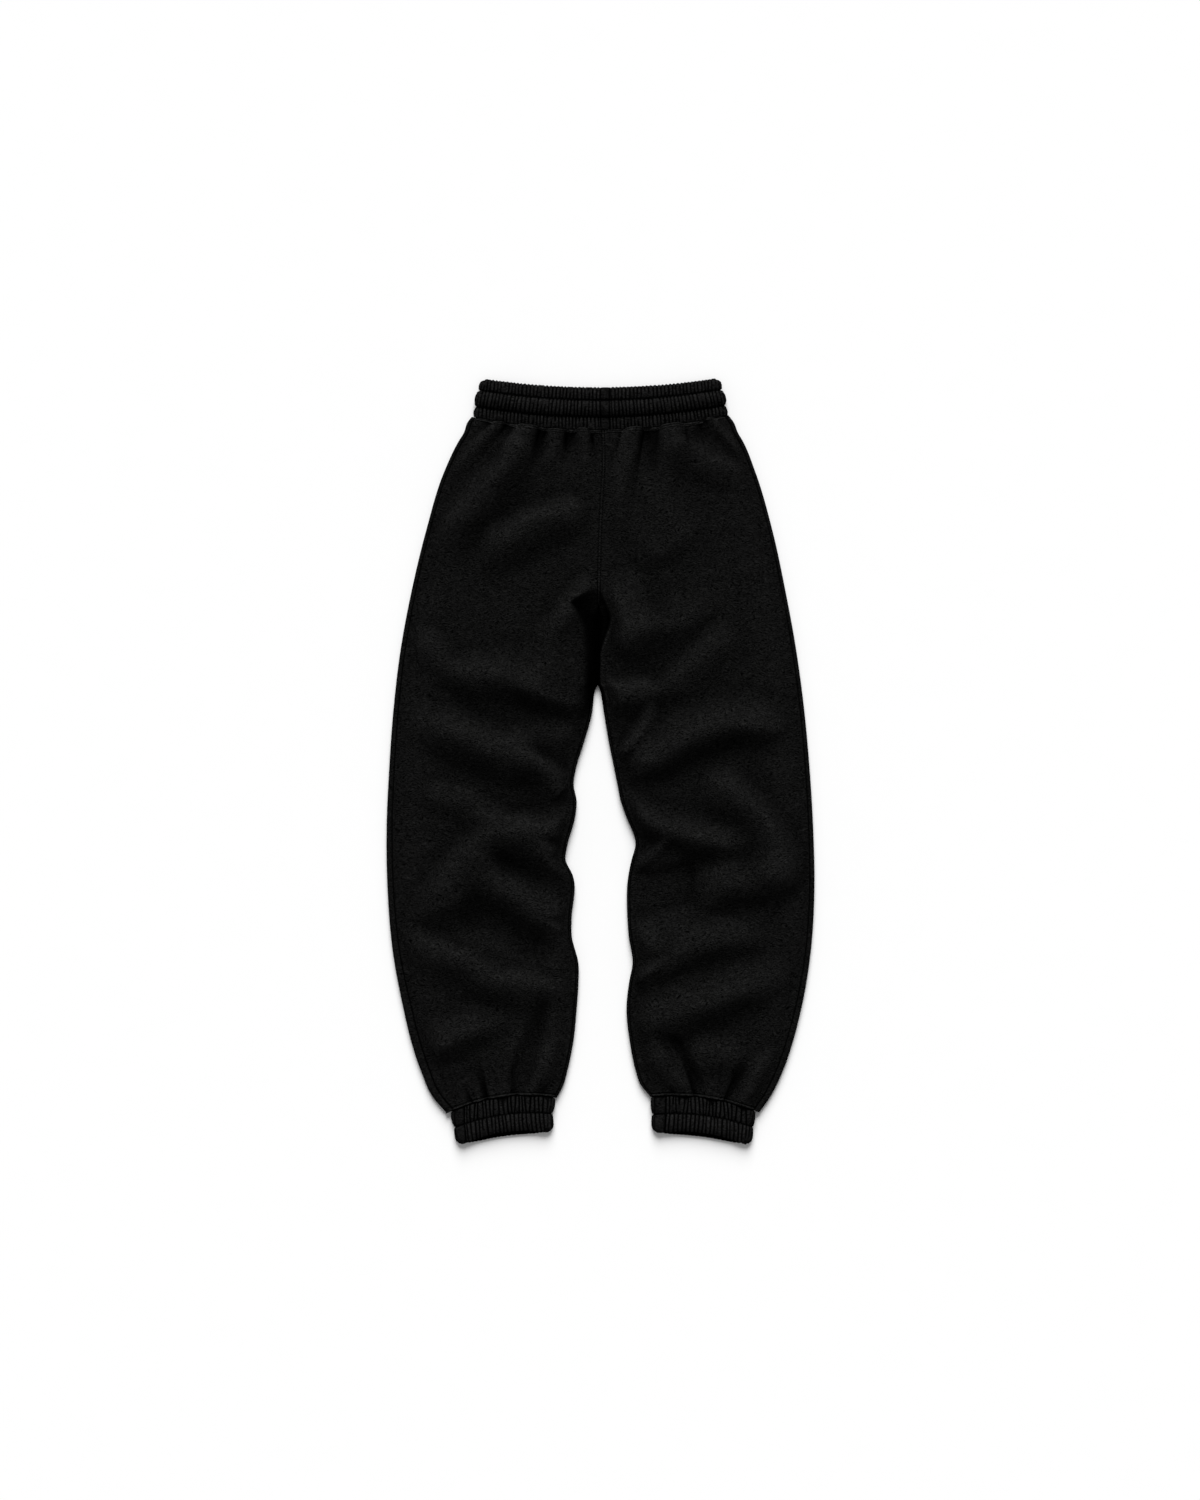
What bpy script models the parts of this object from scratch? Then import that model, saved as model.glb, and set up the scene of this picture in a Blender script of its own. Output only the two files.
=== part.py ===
"""Jogger sweatpants in brushed fleece, laid flat with the front upwards.

The pieces are the ones that a maker cuts and sews: a gathered elastic waistband, two front
legs, two back legs and two elastic cuffs.  Each is one closed wall of cloth.  Metres, +Z up.
The garment lies on z = 0 with the waist towards +Y and the wearer's left towards +X.
The tables and sizes below are in millimetres.
"""
import math
from collections import namedtuple

import bmesh
import bpy
import numpy as np

MM = 0.001
RIGHT = "right"                 # the wearer's right leg, on the -X side
LEFT = "left"                   # the wearer's left leg, on the +X side
INWARDS = {RIGHT: 1.0, LEFT: -1.0}      # the way along X from a side seam to the inner leg

# --- cloth and seams -------------------------------------------------------------------
SEAM_GAP = 0.3                  # space between two pieces that are sewn together
CLOTH = 3.0                     # thickness of the heavy fleece
EDGE_HEIGHT = 8.3               # top of the two layers and the air at a leg's edges
LIP_RISE = 4.0                  # height up to which the back curls at the inner leg
SIDE_LAP = 7.0                  # how far the back wraps over to the side seam
LOWEST_FRONT = 6.6              # the front wall rests just above the back wall
HIGHEST_INSEAM = 13.0           # top of a fold where it runs out over the inner leg

# --- the puff of a leg -----------------------------------------------------------------
CROWN = 6.0                     # air under the middle of a leg
CROWN_SIDE = 42.0               # width over which the crown rises from the side
CROWN_INSEAM = 34.0             # the same from the inner leg
CROWN_AT_SEAMS = 0.3            # share of the crown that is left at waistband and cuff
CROWN_LENGTH = 60.0             # length over which the crown grows from those seams
FOLD_SIDE = 16.0                # width over which a fold fades towards the side seam
FOLD_INSEAM = 24.0              # the same towards the inner leg and the centre seam
FOLD_OVER_INSEAM = 0.35         # share of a fold that is left where it crosses the inner leg

# --- centre seam and crotch ------------------------------------------------------------
CROTCH_Y = 205.0                # where the four legs' pieces meet
HOLLOW_WALL = 14.0              # width of the slope down into the crotch hollow
HOLLOW_TOP = 228.0
HOLLOW_SLOPE = 16.0             # length of the slope at the hollow's upper end

CentrePoint = namedtuple("CentrePoint", "y x")
CENTRE_SEAM = [
    CentrePoint(437.0, 3.1),
    CentrePoint(384.0, 3.9),
    CentrePoint(341.0, 1.3),
    CentrePoint(267.0, -1.5),
    CentrePoint(194.0, -2.6),
    CentrePoint(101.0, -2.6),
]

HollowRow = namedtuple("HollowRow", "y left right")
HOLLOW = [
    HollowRow(228.0, -3.0, -1.0),
    HollowRow(211.0, -28.0, 4.0),
    HollowRow(192.0, -21.0, 12.0),
    HollowRow(160.0, -15.0, 5.0),
    HollowRow(125.0, -9.0, -1.0),
    HollowRow(101.0, -5.0, -1.0),
]

# --- outlines of the legs --------------------------------------------------------------
# Distance of each side from the centre line.
SideRow = namedtuple("SideRow", "y right left")
SIDE_EDGE = [
    SideRow(452.5, 164.5, 164.5),
    SideRow(443.0, 171.6, 171.6),
    SideRow(419.0, 182.0, 183.3),
    SideRow(380.0, 200.2, 198.9),
    SideRow(302.0, 225.0, 222.3),
    SideRow(224.0, 244.4, 239.2),
    SideRow(146.0, 258.7, 253.5),
    SideRow(68.0, 267.8, 263.9),
    SideRow(-10.0, 273.0, 270.4),
    SideRow(-88.0, 276.9, 275.6),
    SideRow(-166.0, 275.6, 276.9),
    SideRow(-244.0, 269.1, 273.0),
    SideRow(-322.0, 254.8, 260.0),
    SideRow(-361.0, 245.7, 249.6),
    SideRow(-400.0, 232.7, 236.6),
    SideRow(-439.0, 214.5, 217.5),
    SideRow(-455.0, 198.5, 204.2),
]

# Distance of each inner leg from the centre line, scalloped where folds run out over it.
InseamRow = namedtuple("InseamRow", "y right left")
INSEAM_EDGE = [
    InseamRow(101.0, 2.8, -2.4),
    InseamRow(88.0, 7.8, 0.7),
    InseamRow(68.0, 10.4, 3.9),
    InseamRow(29.0, 20.8, 10.4),
    InseamRow(-10.0, 32.5, 18.2),
    InseamRow(-29.0, 35.1, 22.1),
    InseamRow(-49.0, 31.2, 26.0),
    InseamRow(-68.0, 32.5, 32.5),
    InseamRow(-107.0, 42.9, 45.5),
    InseamRow(-127.0, 45.5, 40.3),
    InseamRow(-146.0, 36.4, 36.4),
    InseamRow(-205.0, 37.7, 35.1),
    InseamRow(-224.0, 37.7, 36.4),
    InseamRow(-263.0, 28.6, 41.6),
    InseamRow(-283.0, 28.6, 37.7),
    InseamRow(-322.0, 31.2, 33.8),
    InseamRow(-361.0, 35.1, 37.7),
    InseamRow(-400.0, 42.9, 45.5),
    InseamRow(-419.0, 48.1, 52.0),
    InseamRow(-436.0, 57.0, 65.0),
]

# --- lines across the waistband and the cuffs ------------------------------------------
# Each line runs between two ends and stands off the straight by "bow" at its middle.
# "height" is the front's top there, and "puff" the swell of the elastic channel beyond it.
Line = namedtuple("Line", "left_x left_y right_x right_y bow height puff")
WAISTBAND = [
    Line(-164.5, 452.8, 164.5, 452.8, -16.2, 11.5, 3.0),
    Line(-161.8, 467.1, 161.8, 467.1, -16.9, 12.0, 4.6),
    Line(-158.0, 486.8, 158.0, 486.8, -14.4, 12.0, 3.0),
    Line(-153.5, 497.7, 153.5, 497.7, -10.9, 10.0, 0.0),
]
CUFFS = {
    RIGHT: [
        Line(-197.0, -453.6, -60.0, -436.0, 9.8, 10.5, 2.8),
        Line(-190.5, -474.5, -64.5, -457.0, 6.5, 10.5, 3.2),
        Line(-183.5, -497.6, -65.0, -482.6, 3.0, 8.5, 0.0),
    ],
    LEFT: [
        Line(66.0, -435.3, 203.0, -453.0, 8.3, 10.5, 2.8),
        Line(69.0, -457.7, 198.0, -474.8, 6.3, 10.5, 3.2),
        Line(70.5, -482.3, 192.0, -498.0, 2.5, 8.5, 0.0),
    ],
}
SIDE_PUFF = 0.3                 # share of a channel's puff that shows at its ends
BAND_WALL = 6.0                 # doubled fleece with the elastic inside
CUFF_WALL = 5.2
RING_AIR = 1.0                  # space between the front and back of a ring
RING_END = 7.0                  # half width of a ring's rounded ends
RIB = 1.3                       # depth of the small ribs that the elastic gathers
RIB_AT_STITCH = 0.35            # share of the rib that crosses a stitch line
PLAIN_CENTRE = 11.0             # half of the ungathered stretch at the centre front
BAND_RIBS = 49
CUFF_RIBS = 25
CHANNEL_POINTS = (0.28, 0.72)   # where a channel's section is sampled between its lines
WIDE_CHANNEL_POINTS = (0.2, 0.5, 0.8)
WIDE_CHANNEL = 18.0

# --- folds of the fronts ---------------------------------------------------------------
# A fold runs from start over middle to end.  "left" and "right" are its widths on each hand
# of that way, "rise" its height, and the fades the shares of its length where it dies away.
Fold = namedtuple("Fold", "leg start middle end left right rise fade_in fade_out")
FOLDS = [
    # gathers under the waistband, from the right side to the left
    Fold(RIGHT, (-122, 454), (-134, 434), (-148, 412), 13, 13, 5.0, 0.0, 0.5),
    Fold(RIGHT, (-94, 452), (-98, 430), (-110, 400), 15, 15, 6.0, 0.0, 0.4),
    Fold(RIGHT, (-54, 452), (-56, 428), (-62, 395), 14, 14, 6.0, 0.0, 0.6),
    Fold(RIGHT, (-23, 450), (-24, 428), (-28, 395), 13, 13, 5.0, 0.0, 0.6),
    Fold(LEFT, (18, 448), (18, 432), (20, 400), 11, 11, 4.5, 0.0, 0.6),
    Fold(LEFT, (45, 452), (43, 415), (26, 330), 17, 18, 9.0, 0.0, 0.5),
    Fold(LEFT, (88, 452), (90, 428), (92, 395), 18, 18, 6.5, 0.0, 0.6),
    Fold(LEFT, (116, 454), (118, 436), (124, 415), 11, 11, 4.0, 0.0, 0.5),
    # hip and thigh, right
    Fold(RIGHT, (-215, 372), (-170, 410), (-128, 446), 20, 26, 6.0, 0.4, 0.2),
    Fold(RIGHT, (-205, 290), (-124, 372), (-80, 440), 36, 44, 13.0, 0.35, 0.15),
    Fold(RIGHT, (-165, 252), (-88, 304), (0, 322), 34, 54, 9.0, 0.4, 0.1),
    Fold(RIGHT, (-85, 140), (-42, 200), (-2, 232), 38, 34, 8.0, 0.4, 0.1),
    Fold(RIGHT, (-245, 152), (-200, 124), (-150, 92), 26, 32, 6.0, 0.3, 0.4),
    Fold(RIGHT, (-205, 118), (-105, 108), (-25, 66), 34, 34, 14.0, 0.35, 0.0),
    # knee and shin, right
    Fold(RIGHT, (-262, 62), (-150, 24), (-30, -44), 38, 42, 14.0, 0.15, 0.0),
    Fold(RIGHT, (-240, -26), (-185, -48), (-130, -74), 26, 26, 6.0, 0.3, 0.4),
    Fold(RIGHT, (-182, -84), (-110, -98), (-30, -132), 50, 32, 13.0, 0.3, 0.0),
    Fold(RIGHT, (-204, -172), (-180, -120), (-145, -88), 30, 20, 8.0, 0.4, 0.3),
    Fold(RIGHT, (-165, -155), (-110, -184), (-30, -224), 34, 34, 12.0, 0.25, 0.0),
    Fold(RIGHT, (-255, -190), (-195, -184), (-140, -155), 28, 32, 9.0, 0.2, 0.2),
    Fold(RIGHT, (-256, -238), (-165, -276), (-30, -298), 34, 38, 13.0, 0.1, 0.3),
    Fold(RIGHT, (-235, -366), (-172, -352), (-112, -322), 34, 44, 10.0, 0.3, 0.4),
    Fold(RIGHT, (-66, -300), (-94, -368), (-113, -440), 24, 22, -6.0, 0.3, 0.0),
    Fold(RIGHT, (-56, -345), (-72, -395), (-90, -440), 20, 18, 5.0, 0.4, 0.3),
    # hip and thigh, left
    Fold(LEFT, (84, 440), (130, 398), (205, 362), 34, 48, 9.0, 0.2, 0.4),
    Fold(LEFT, (130, 458), (160, 432), (200, 394), 18, 24, 9.0, 0.2, 0.3),
    Fold(LEFT, (20, 270), (85, 300), (140, 345), 60, 42, 8.0, 0.35, 0.35),
    Fold(LEFT, (-10, 150), (60, 184), (180, 212), 66, 40, 15.0, 0.0, 0.4),
    Fold(LEFT, (-10, 88), (85, 108), (195, 182), 30, 34, 12.0, 0.0, 0.4),
    Fold(LEFT, (18, -14), (60, 44), (115, 92), 26, 26, 7.0, 0.1, 0.4),
    # knee and shin, left
    Fold(LEFT, (24, -26), (120, 30), (245, 50), 40, 40, 15.0, 0.1, 0.25),
    Fold(LEFT, (226, -125), (196, -50), (130, -18), 34, 34, 9.0, 0.3, 0.3),
    Fold(LEFT, (25, -78), (80, -80), (150, -100), 32, 20, 9.0, 0.0, 0.4),
    Fold(LEFT, (30, -140), (100, -106), (220, -108), 24, 42, 13.0, 0.0, 0.2),
    Fold(LEFT, (90, -154), (170, -160), (272, -156), 34, 32, 9.0, 0.3, 0.15),
    Fold(LEFT, (25, -232), (110, -228), (200, -220), 32, 40, 7.0, 0.0, 0.4),
    Fold(LEFT, (40, -288), (120, -250), (225, -222), 36, 32, 10.0, 0.1, 0.3),
    Fold(LEFT, (30, -368), (120, -328), (250, -284), 42, 38, 14.0, 0.1, 0.2),
    Fold(LEFT, (72, -340), (108, -380), (128, -440), 18, 18, -8.0, 0.3, 0.0),
    Fold(LEFT, (194, -378), (174, -410), (160, -442), 14, 14, -5.5, 0.4, 0.0),
    Fold(LEFT, (110, -392), (148, -400), (185, -390), 36, 26, 6.0, 0.4, 0.4),
    Fold(LEFT, (224, -360), (204, -404), (184, -440), 24, 18, 6.0, 0.4, 0.0),
    Fold(LEFT, (56, -360), (86, -402), (112, -438), 20, 18, 5.0, 0.4, 0.0),
]
FOLD_STEPS = 12                 # straight steps along a fold's curved way
NARROW_END = 0.6                # a fold's width at its ends as a share of its full width

# --- how finely each piece is divided --------------------------------------------------
FRONT_COLUMNS = 15              # spans across a front between its side seam and its lip
LIP_STEPS = 3
SIDE_CURL_STEPS = 4
BACK_COLUMNS = 8
BAND_BACK_COLUMNS = 16
CUFF_BACK_COLUMNS = 10
RING_END_STEPS = 5
# Rows of a leg lie between these heights at the inner edge: (from, to, number of rows).
ROW_RUNS = [
    (436.0, 400.0, 3),
    (400.0, 232.0, 6),
    (232.0, CROTCH_Y + 1.0, 2),
    (CROTCH_Y - 7.0, -418.0, 25),
    (-418.0, -436.0, 2),
]

LEG_LENGTH = ROW_RUNS[0][0] - ROW_RUNS[-1][1]

FLEECE_COLOUR = (0.0065, 0.0065, 0.0070, 1.0)
BAND_COLOUR = (0.0060, 0.0060, 0.0065, 1.0)


def smooth(value):
    """Rise gently from 0 to 1 as value does."""
    value = np.clip(value, 0.0, 1.0)
    return value * value * (3.0 - 2.0 * value)


def read_line(table, column, y):
    """Read a table's column at height y along a smooth curve through its rows."""
    heights = np.array([row.y for row in table])
    places = np.array([getattr(row, column) for row in table])
    slopes = np.gradient(places, heights)
    y = min(max(y, heights[-1]), heights[0])
    after = min(max(int(np.searchsorted(-heights, -y)), 1), len(table) - 1)
    before = after - 1
    span = heights[after] - heights[before]
    t = (y - heights[before]) / span
    ease = t * t * (3.0 - 2.0 * t)
    start = places[before] * (1.0 - ease) + slopes[before] * span * t * (1.0 - t) ** 2
    end = places[after] * ease - slopes[after] * span * t * t * (1.0 - t)
    return start + end


def line_curvature(line):
    return -4.0 * line.bow / (line.right_x - line.left_x) ** 2


def line_y(line, x):
    """Height of a seam or stitch line at x."""
    slope = (line.right_y - line.left_y) / (line.right_x - line.left_x)
    straight = line.left_y + slope * (x - line.left_x)
    return straight + line_curvature(line) * (x - line.left_x) * (x - line.right_x)


def fold_way(fold):
    """Points along the smooth way through a fold's start, middle and end."""
    start, middle, end = (np.array(point, float) for point in (fold.start, fold.middle, fold.end))
    handle = 2.0 * middle - 0.5 * (start + end)
    t = np.linspace(0.0, 1.0, FOLD_STEPS + 1)[:, None]
    return (1.0 - t) ** 2 * start + 2.0 * t * (1.0 - t) * handle + t ** 2 * end


def fold_height(fold, points):
    """Height that one fold adds at each point."""
    way = fold_way(fold)
    lengths = np.linalg.norm(np.diff(way, axis=0), axis=1)
    nearest = np.full(len(points), np.inf)
    offset = np.zeros(len(points))
    travelled = np.zeros(len(points))
    for step, length in enumerate(lengths):
        heading = (way[step + 1] - way[step]) / length
        local = points - way[step]
        run = np.clip(local @ heading, 0.0, length)
        distance = np.linalg.norm(local - run[:, None] * heading, axis=1)
        hand = np.sign(heading[0] * local[:, 1] - heading[1] * local[:, 0])
        closer = distance < nearest
        nearest = np.where(closer, distance, nearest)
        offset = np.where(closer, hand * distance, offset)
        travelled = np.where(closer, lengths[:step].sum() + run, travelled)
    share = travelled / lengths.sum()
    strength = np.ones(len(points))
    if fold.fade_in:
        strength *= smooth(share / fold.fade_in)
    if fold.fade_out:
        strength *= smooth((1.0 - share) / fold.fade_out)
    width = np.where(offset > 0.0, fold.left, fold.right)
    width = width * (NARROW_END + (1.0 - NARROW_END) * strength)
    section = 0.5 + 0.5 * np.cos(math.pi * np.clip(nearest / width, 0.0, 1.0))
    return fold.rise * strength * section


class LegRow:
    """One row across a leg, from its side to its inner edge, at share v of its length."""

    def __init__(self, leg, share, inner_y):
        self.leg = leg
        self.share = share
        self.inwards = INWARDS[leg]
        self.above_crotch = inner_y > CROTCH_Y
        waist, cuff = WAISTBAND[0], CUFFS[leg][0]
        self.inner_y = inner_y
        self.inner_x = self.inner_edge(inner_y)
        if share == 0.0:
            self.inner_y = line_y(waist, self.inner_x) - SEAM_GAP
        if share == 1.0:
            self.inner_y = line_y(cuff, self.inner_x) + SEAM_GAP
        top = line_y(waist, SIDE_EDGE[0].right) - SEAM_GAP
        foot_x = -self.inwards * getattr(SIDE_EDGE[-1], leg)
        foot = line_y(cuff, foot_x) + SEAM_GAP
        self.outer_y = top + (foot - top) * share
        self.outer_x = -self.inwards * read_line(SIDE_EDGE, leg, self.outer_y)
        self.curvature = line_curvature(waist) * (1.0 - share) ** 3
        self.curvature += line_curvature(cuff) * share ** 3

    def inner_edge(self, y):
        if y > INSEAM_EDGE[0].y:
            centre = read_line(CENTRE_SEAM, "x", y)
            return centre - self.inwards * SEAM_GAP / 2.0
        return -self.inwards * read_line(INSEAM_EDGE, self.leg, y)

    def y_at(self, x):
        """Height of the row at x; the seams' own curves fade out along the leg."""
        share = (x - self.outer_x) / (self.inner_x - self.outer_x)
        straight = self.outer_y + (self.inner_y - self.outer_y) * share
        return straight + self.curvature * (x - self.outer_x) * (x - self.inner_x)

    def place(self, section):
        """Points of a section that is given as (run from the side edge, height)."""
        flat = [(self.outer_x + self.inwards * run, height) for run, height in section]
        return [(x, self.y_at(x), height) for x, height in flat]


def leg_rows(leg):
    """The rows of a leg from the waistband to the cuff."""
    heights = []
    for first, last, count in ROW_RUNS:
        heights += list(np.linspace(first, last, count, endpoint=False))
    heights.append(ROW_RUNS[-1][1])
    return [LegRow(leg, (heights[0] - y) / LEG_LENGTH, y) for y in heights]


def hollow_share(x, y):
    """How far the front has sunk into the crotch hollow, from 0 to 1."""
    share = np.zeros(len(x))
    for index, (px, py) in enumerate(zip(x, y)):
        if HOLLOW[-1].y < py < HOLLOW_TOP:
            left = read_line(HOLLOW, "left", py)
            right = read_line(HOLLOW, "right", py)
            outside = max(left - px, px - right, 0.0)
            drop = smooth((HOLLOW_TOP - py) / HOLLOW_SLOPE)
            share[index] = (1.0 - smooth(outside / HOLLOW_WALL)) * drop
    return share


def front_height(row, x):
    """Top of the front's cloth along one row."""
    y = row.y_at(x)
    points = np.column_stack([x, y])
    from_side = np.abs(x - row.outer_x)
    from_inner = np.abs(x - row.inner_x)
    below_crotch = smooth((CROTCH_Y + 20.0 - y) / 45.0)
    from_seams = min(row.share, 1.0 - row.share) * LEG_LENGTH
    crown = CROWN * smooth(from_side / CROWN_SIDE)
    crown *= 1.0 - below_crotch * (1.0 - smooth(from_inner / CROWN_INSEAM))
    crown *= CROWN_AT_SEAMS + (1.0 - CROWN_AT_SEAMS) * smooth(from_seams / CROWN_LENGTH)
    folds = sum(fold_height(fold, points) for fold in FOLDS if fold.leg == row.leg)
    kept = FOLD_OVER_INSEAM * below_crotch
    folds *= smooth((from_side - SIDE_LAP) / FOLD_SIDE)
    folds *= kept + (1.0 - kept) * smooth(from_inner / FOLD_INSEAM)
    height = EDGE_HEIGHT + crown + folds
    floor = LOWEST_FRONT if row.above_crotch else EDGE_HEIGHT
    height += (floor - height) * hollow_share(x, y)
    return np.maximum(height, LOWEST_FRONT)


def curl(radius, steps):
    """Steps along cloth that turns by a right angle: (run, drop, heading) at each."""
    headings = [math.pi / 2.0 * step / steps for step in range(steps + 1)]
    return [(radius * math.sin(turn), radius * (1.0 - math.cos(turn)), turn) for turn in headings]


def front_section(row):
    """Outer and inner points of a front along one row, side seam first."""
    seam = row.outer_x + row.inwards * (SIDE_LAP + SEAM_GAP)
    if row.above_crotch:
        x = np.linspace(seam, row.inner_x, FRONT_COLUMNS + LIP_STEPS + 1)
        z = front_height(row, x)
        z[0] = EDGE_HEIGHT
        outer = [(px, row.y_at(px), pz) for px, pz in zip(x, z)]
        inner = [(px, py, pz - CLOTH) for px, py, pz in outer]
        return outer, inner
    lip = np.array([row.inner_x - row.inwards * LIP_RISE])
    lip_height = float(np.clip(front_height(row, lip), EDGE_HEIGHT, HIGHEST_INSEAM)[0])
    steps = curl(lip_height - LIP_RISE - SEAM_GAP, LIP_STEPS)
    lip_start = row.inner_x - row.inwards * steps[-1][0]
    x = np.linspace(seam, lip_start, FRONT_COLUMNS + 1)
    z = front_height(row, x)
    z[0] = EDGE_HEIGHT
    z[-1] = lip_height
    outer = [(px, row.y_at(px), pz) for px, pz in zip(x, z)]
    inner = [(px, py, pz - CLOTH) for px, py, pz in outer]
    for run, drop, heading in steps[1:]:
        px = lip_start + row.inwards * run
        inside = px - row.inwards * CLOTH * math.sin(heading)
        pz = lip_height - drop
        outer.append((px, row.y_at(px), pz))
        inner.append((inside, row.y_at(inside), pz - CLOTH * math.cos(heading)))
    return outer, inner


def back_section(row):
    """Outer and inner points of a back along one row, from the side seam round underneath."""
    radius = EDGE_HEIGHT / 2.0
    inside = radius - CLOTH
    outer = [(SIDE_LAP, EDGE_HEIGHT)]
    inner = [(SIDE_LAP, EDGE_HEIGHT - CLOTH)]
    for step in range(SIDE_CURL_STEPS + 1):
        angle = math.pi * step / SIDE_CURL_STEPS
        run, rise = math.sin(angle), math.cos(angle)
        outer.append((radius - radius * run, radius + radius * rise))
        inner.append((radius - inside * run, radius + inside * rise))
    width = abs(row.inner_x - row.outer_x)
    steps = [] if row.above_crotch else curl(LIP_RISE, LIP_STEPS)
    flat_end = width - steps[-1][0] if steps else width
    flat_columns = BACK_COLUMNS if steps else BACK_COLUMNS + LIP_STEPS
    for run in np.linspace(radius, flat_end, flat_columns + 1)[1:]:
        outer.append((run, 0.0))
        inner.append((run, CLOTH))
    for run, rise, heading in steps[1:]:
        outer.append((flat_end + run, rise))
        inside_run = flat_end + run - CLOTH * math.sin(heading)
        inner.append((inside_run, rise + CLOTH * math.cos(heading)))
    return row.place(outer), row.place(inner)


def ring_columns(ribs, back_columns):
    """Columns round a flattened ring: (place from -1 to 1, angle, side of the rib)."""
    down, up = -math.pi / 2.0, math.pi / 2.0
    columns = [(place, down, 0.0) for place in np.linspace(-1.0, 1.0, back_columns + 1)]
    turns = np.linspace(down, up, RING_END_STEPS + 1)[1:-1]
    columns += [(1.0, turn, 0.0) for turn in turns]
    for index, place in enumerate(np.linspace(1.0, -1.0, 2 * ribs + 1)):
        columns.append((place, up, 1.0 if index % 2 else -1.0))
    columns += [(-1.0, math.pi - turn, 0.0) for turn in reversed(turns)]
    return columns


def ring_levels(lines):
    """Rows of a ring's outside: (line before, line after, share between them)."""
    levels = []
    for before, after in zip(lines, lines[1:]):
        levels.append((before, after, 0.0))
        width = abs(after.left_y - before.left_y)
        shares = WIDE_CHANNEL_POINTS if width > WIDE_CHANNEL and len(lines) > 3 else CHANNEL_POINTS
        levels += [(before, after, share) for share in shares]
    levels.append((lines[-2], lines[-1], 1.0))
    return levels


def ring_point(level, column, wall, inside):
    """One point of a ring at a level between two lines and at a column round it."""
    before, after, share = level
    place, angle, rib_side = column
    swell = math.sin(math.pi * share) ** 0.7
    puff = before.puff * swell
    left = before.left_x + (after.left_x - before.left_x) * share
    right = before.right_x + (after.right_x - before.right_x) * share
    centre, half_width = (left + right) / 2.0, (right - left) / 2.0
    end_x = centre + place * (half_width - RING_END)
    middle = wall + RING_AIR / 2.0
    if inside:
        x = end_x + (RING_END - wall) * math.cos(angle)
        z = middle + RING_AIR / 2.0 * math.sin(angle)
    else:
        rib = RIB / 2.0 * rib_side * (RIB_AT_STITCH + (1.0 - RIB_AT_STITCH) * swell)
        if abs(end_x) < PLAIN_CENTRE:
            rib = 0.0
        top = before.height + (after.height - before.height) * share + puff + rib
        reach = top - middle if angle > 0.0 and angle < math.pi else middle
        x = end_x + (RING_END + SIDE_PUFF * puff) * math.cos(angle)
        z = middle + reach * math.sin(angle)
    y = line_y(before, x) * (1.0 - share) + line_y(after, x) * share
    return (x, y, z)


def ring_profiles(lines, ribs, back_columns, wall):
    """Closed profiles of a ring's wall, one for each column round it."""
    levels = ring_levels(lines)
    ends = (levels[-1], levels[0])
    profiles = []
    for column in ring_columns(ribs, back_columns):
        outside = [ring_point(level, column, wall, False) for level in levels]
        profiles.append(outside + [ring_point(level, column, wall, True) for level in ends])
    return profiles


def loft(name, profiles, material, ring):
    """Join closed profiles into one closed wall; a ring runs back to its first profile."""
    size = len(profiles[0])
    mesh = bpy.data.meshes.new(name)
    shape = bmesh.new()
    corners = [[shape.verts.new([c * MM for c in point]) for point in profile] for profile in profiles]
    following = corners[1:] + corners[:1] if ring else corners[1:]
    for here, there in zip(corners, following):
        for index in range(size):
            after = (index + 1) % size
            shape.faces.new((here[index], here[after], there[after], there[index]))
    if not ring:
        for profile in (corners[0], corners[-1]):
            for index in range(size // 2 - 1):
                across = size - 1 - index
                shape.faces.new((profile[index], profile[index + 1], profile[across - 1], profile[across]))
    bmesh.ops.recalc_face_normals(shape, faces=shape.faces)
    shape.to_mesh(mesh)
    shape.free()
    mesh.materials.append(material)
    mesh.shade_smooth()
    mesh.set_sharp_from_angle(angle=math.radians(50.0))
    piece = bpy.data.objects.new(name, mesh)
    bpy.context.scene.collection.objects.link(piece)
    return piece


def cloth_material(name, colour):
    """A matt, napped cloth."""
    material = bpy.data.materials.new(name)
    material.use_nodes = True
    shader = material.node_tree.nodes["Principled BSDF"]
    shader.inputs["Base Color"].default_value = colour
    shader.inputs["Roughness"].default_value = 0.95
    shader.inputs["Metallic"].default_value = 0.0
    shader.inputs["Sheen Weight"].default_value = 0.3
    material.diffuse_color = colour
    return material


def build_legs(fleece):
    pieces = []
    for leg in (RIGHT, LEFT):
        rows = leg_rows(leg)
        for face, section in (("front", front_section), ("back", back_section)):
            profiles = []
            for row in rows:
                outer, inner = section(row)
                profiles.append(outer + inner[::-1])
            pieces.append(loft(f"{face}_{leg}_leg", profiles, fleece, ring=False))
    return pieces


def build_rings(band):
    profiles = ring_profiles(WAISTBAND, BAND_RIBS, BAND_BACK_COLUMNS, BAND_WALL)
    pieces = [loft("waistband", profiles, band, ring=True)]
    for leg in (RIGHT, LEFT):
        profiles = ring_profiles(CUFFS[leg], CUFF_RIBS, CUFF_BACK_COLUMNS, CUFF_WALL)
        pieces.append(loft(f"{leg}_cuff", profiles, band, ring=True))
    return pieces


def centre_on_origin(pieces):
    """Slide the whole garment so that its plan is centred on the origin."""
    corners = np.array([corner.co for piece in pieces for corner in piece.data.vertices])
    middle = (corners.min(axis=0) + corners.max(axis=0)) / 2.0
    for piece in pieces:
        for corner in piece.data.vertices:
            corner.co.x -= middle[0]
            corner.co.y -= middle[1]


def main():
    for thing in list(bpy.data.objects):
        bpy.data.objects.remove(thing)
    fleece = cloth_material("brushed_fleece", FLEECE_COLOUR)
    band = cloth_material("gathered_fleece", BAND_COLOUR)
    pieces = build_legs(fleece) + build_rings(band)
    centre_on_origin(pieces)
    bpy.context.view_layer.update()


main()
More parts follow.
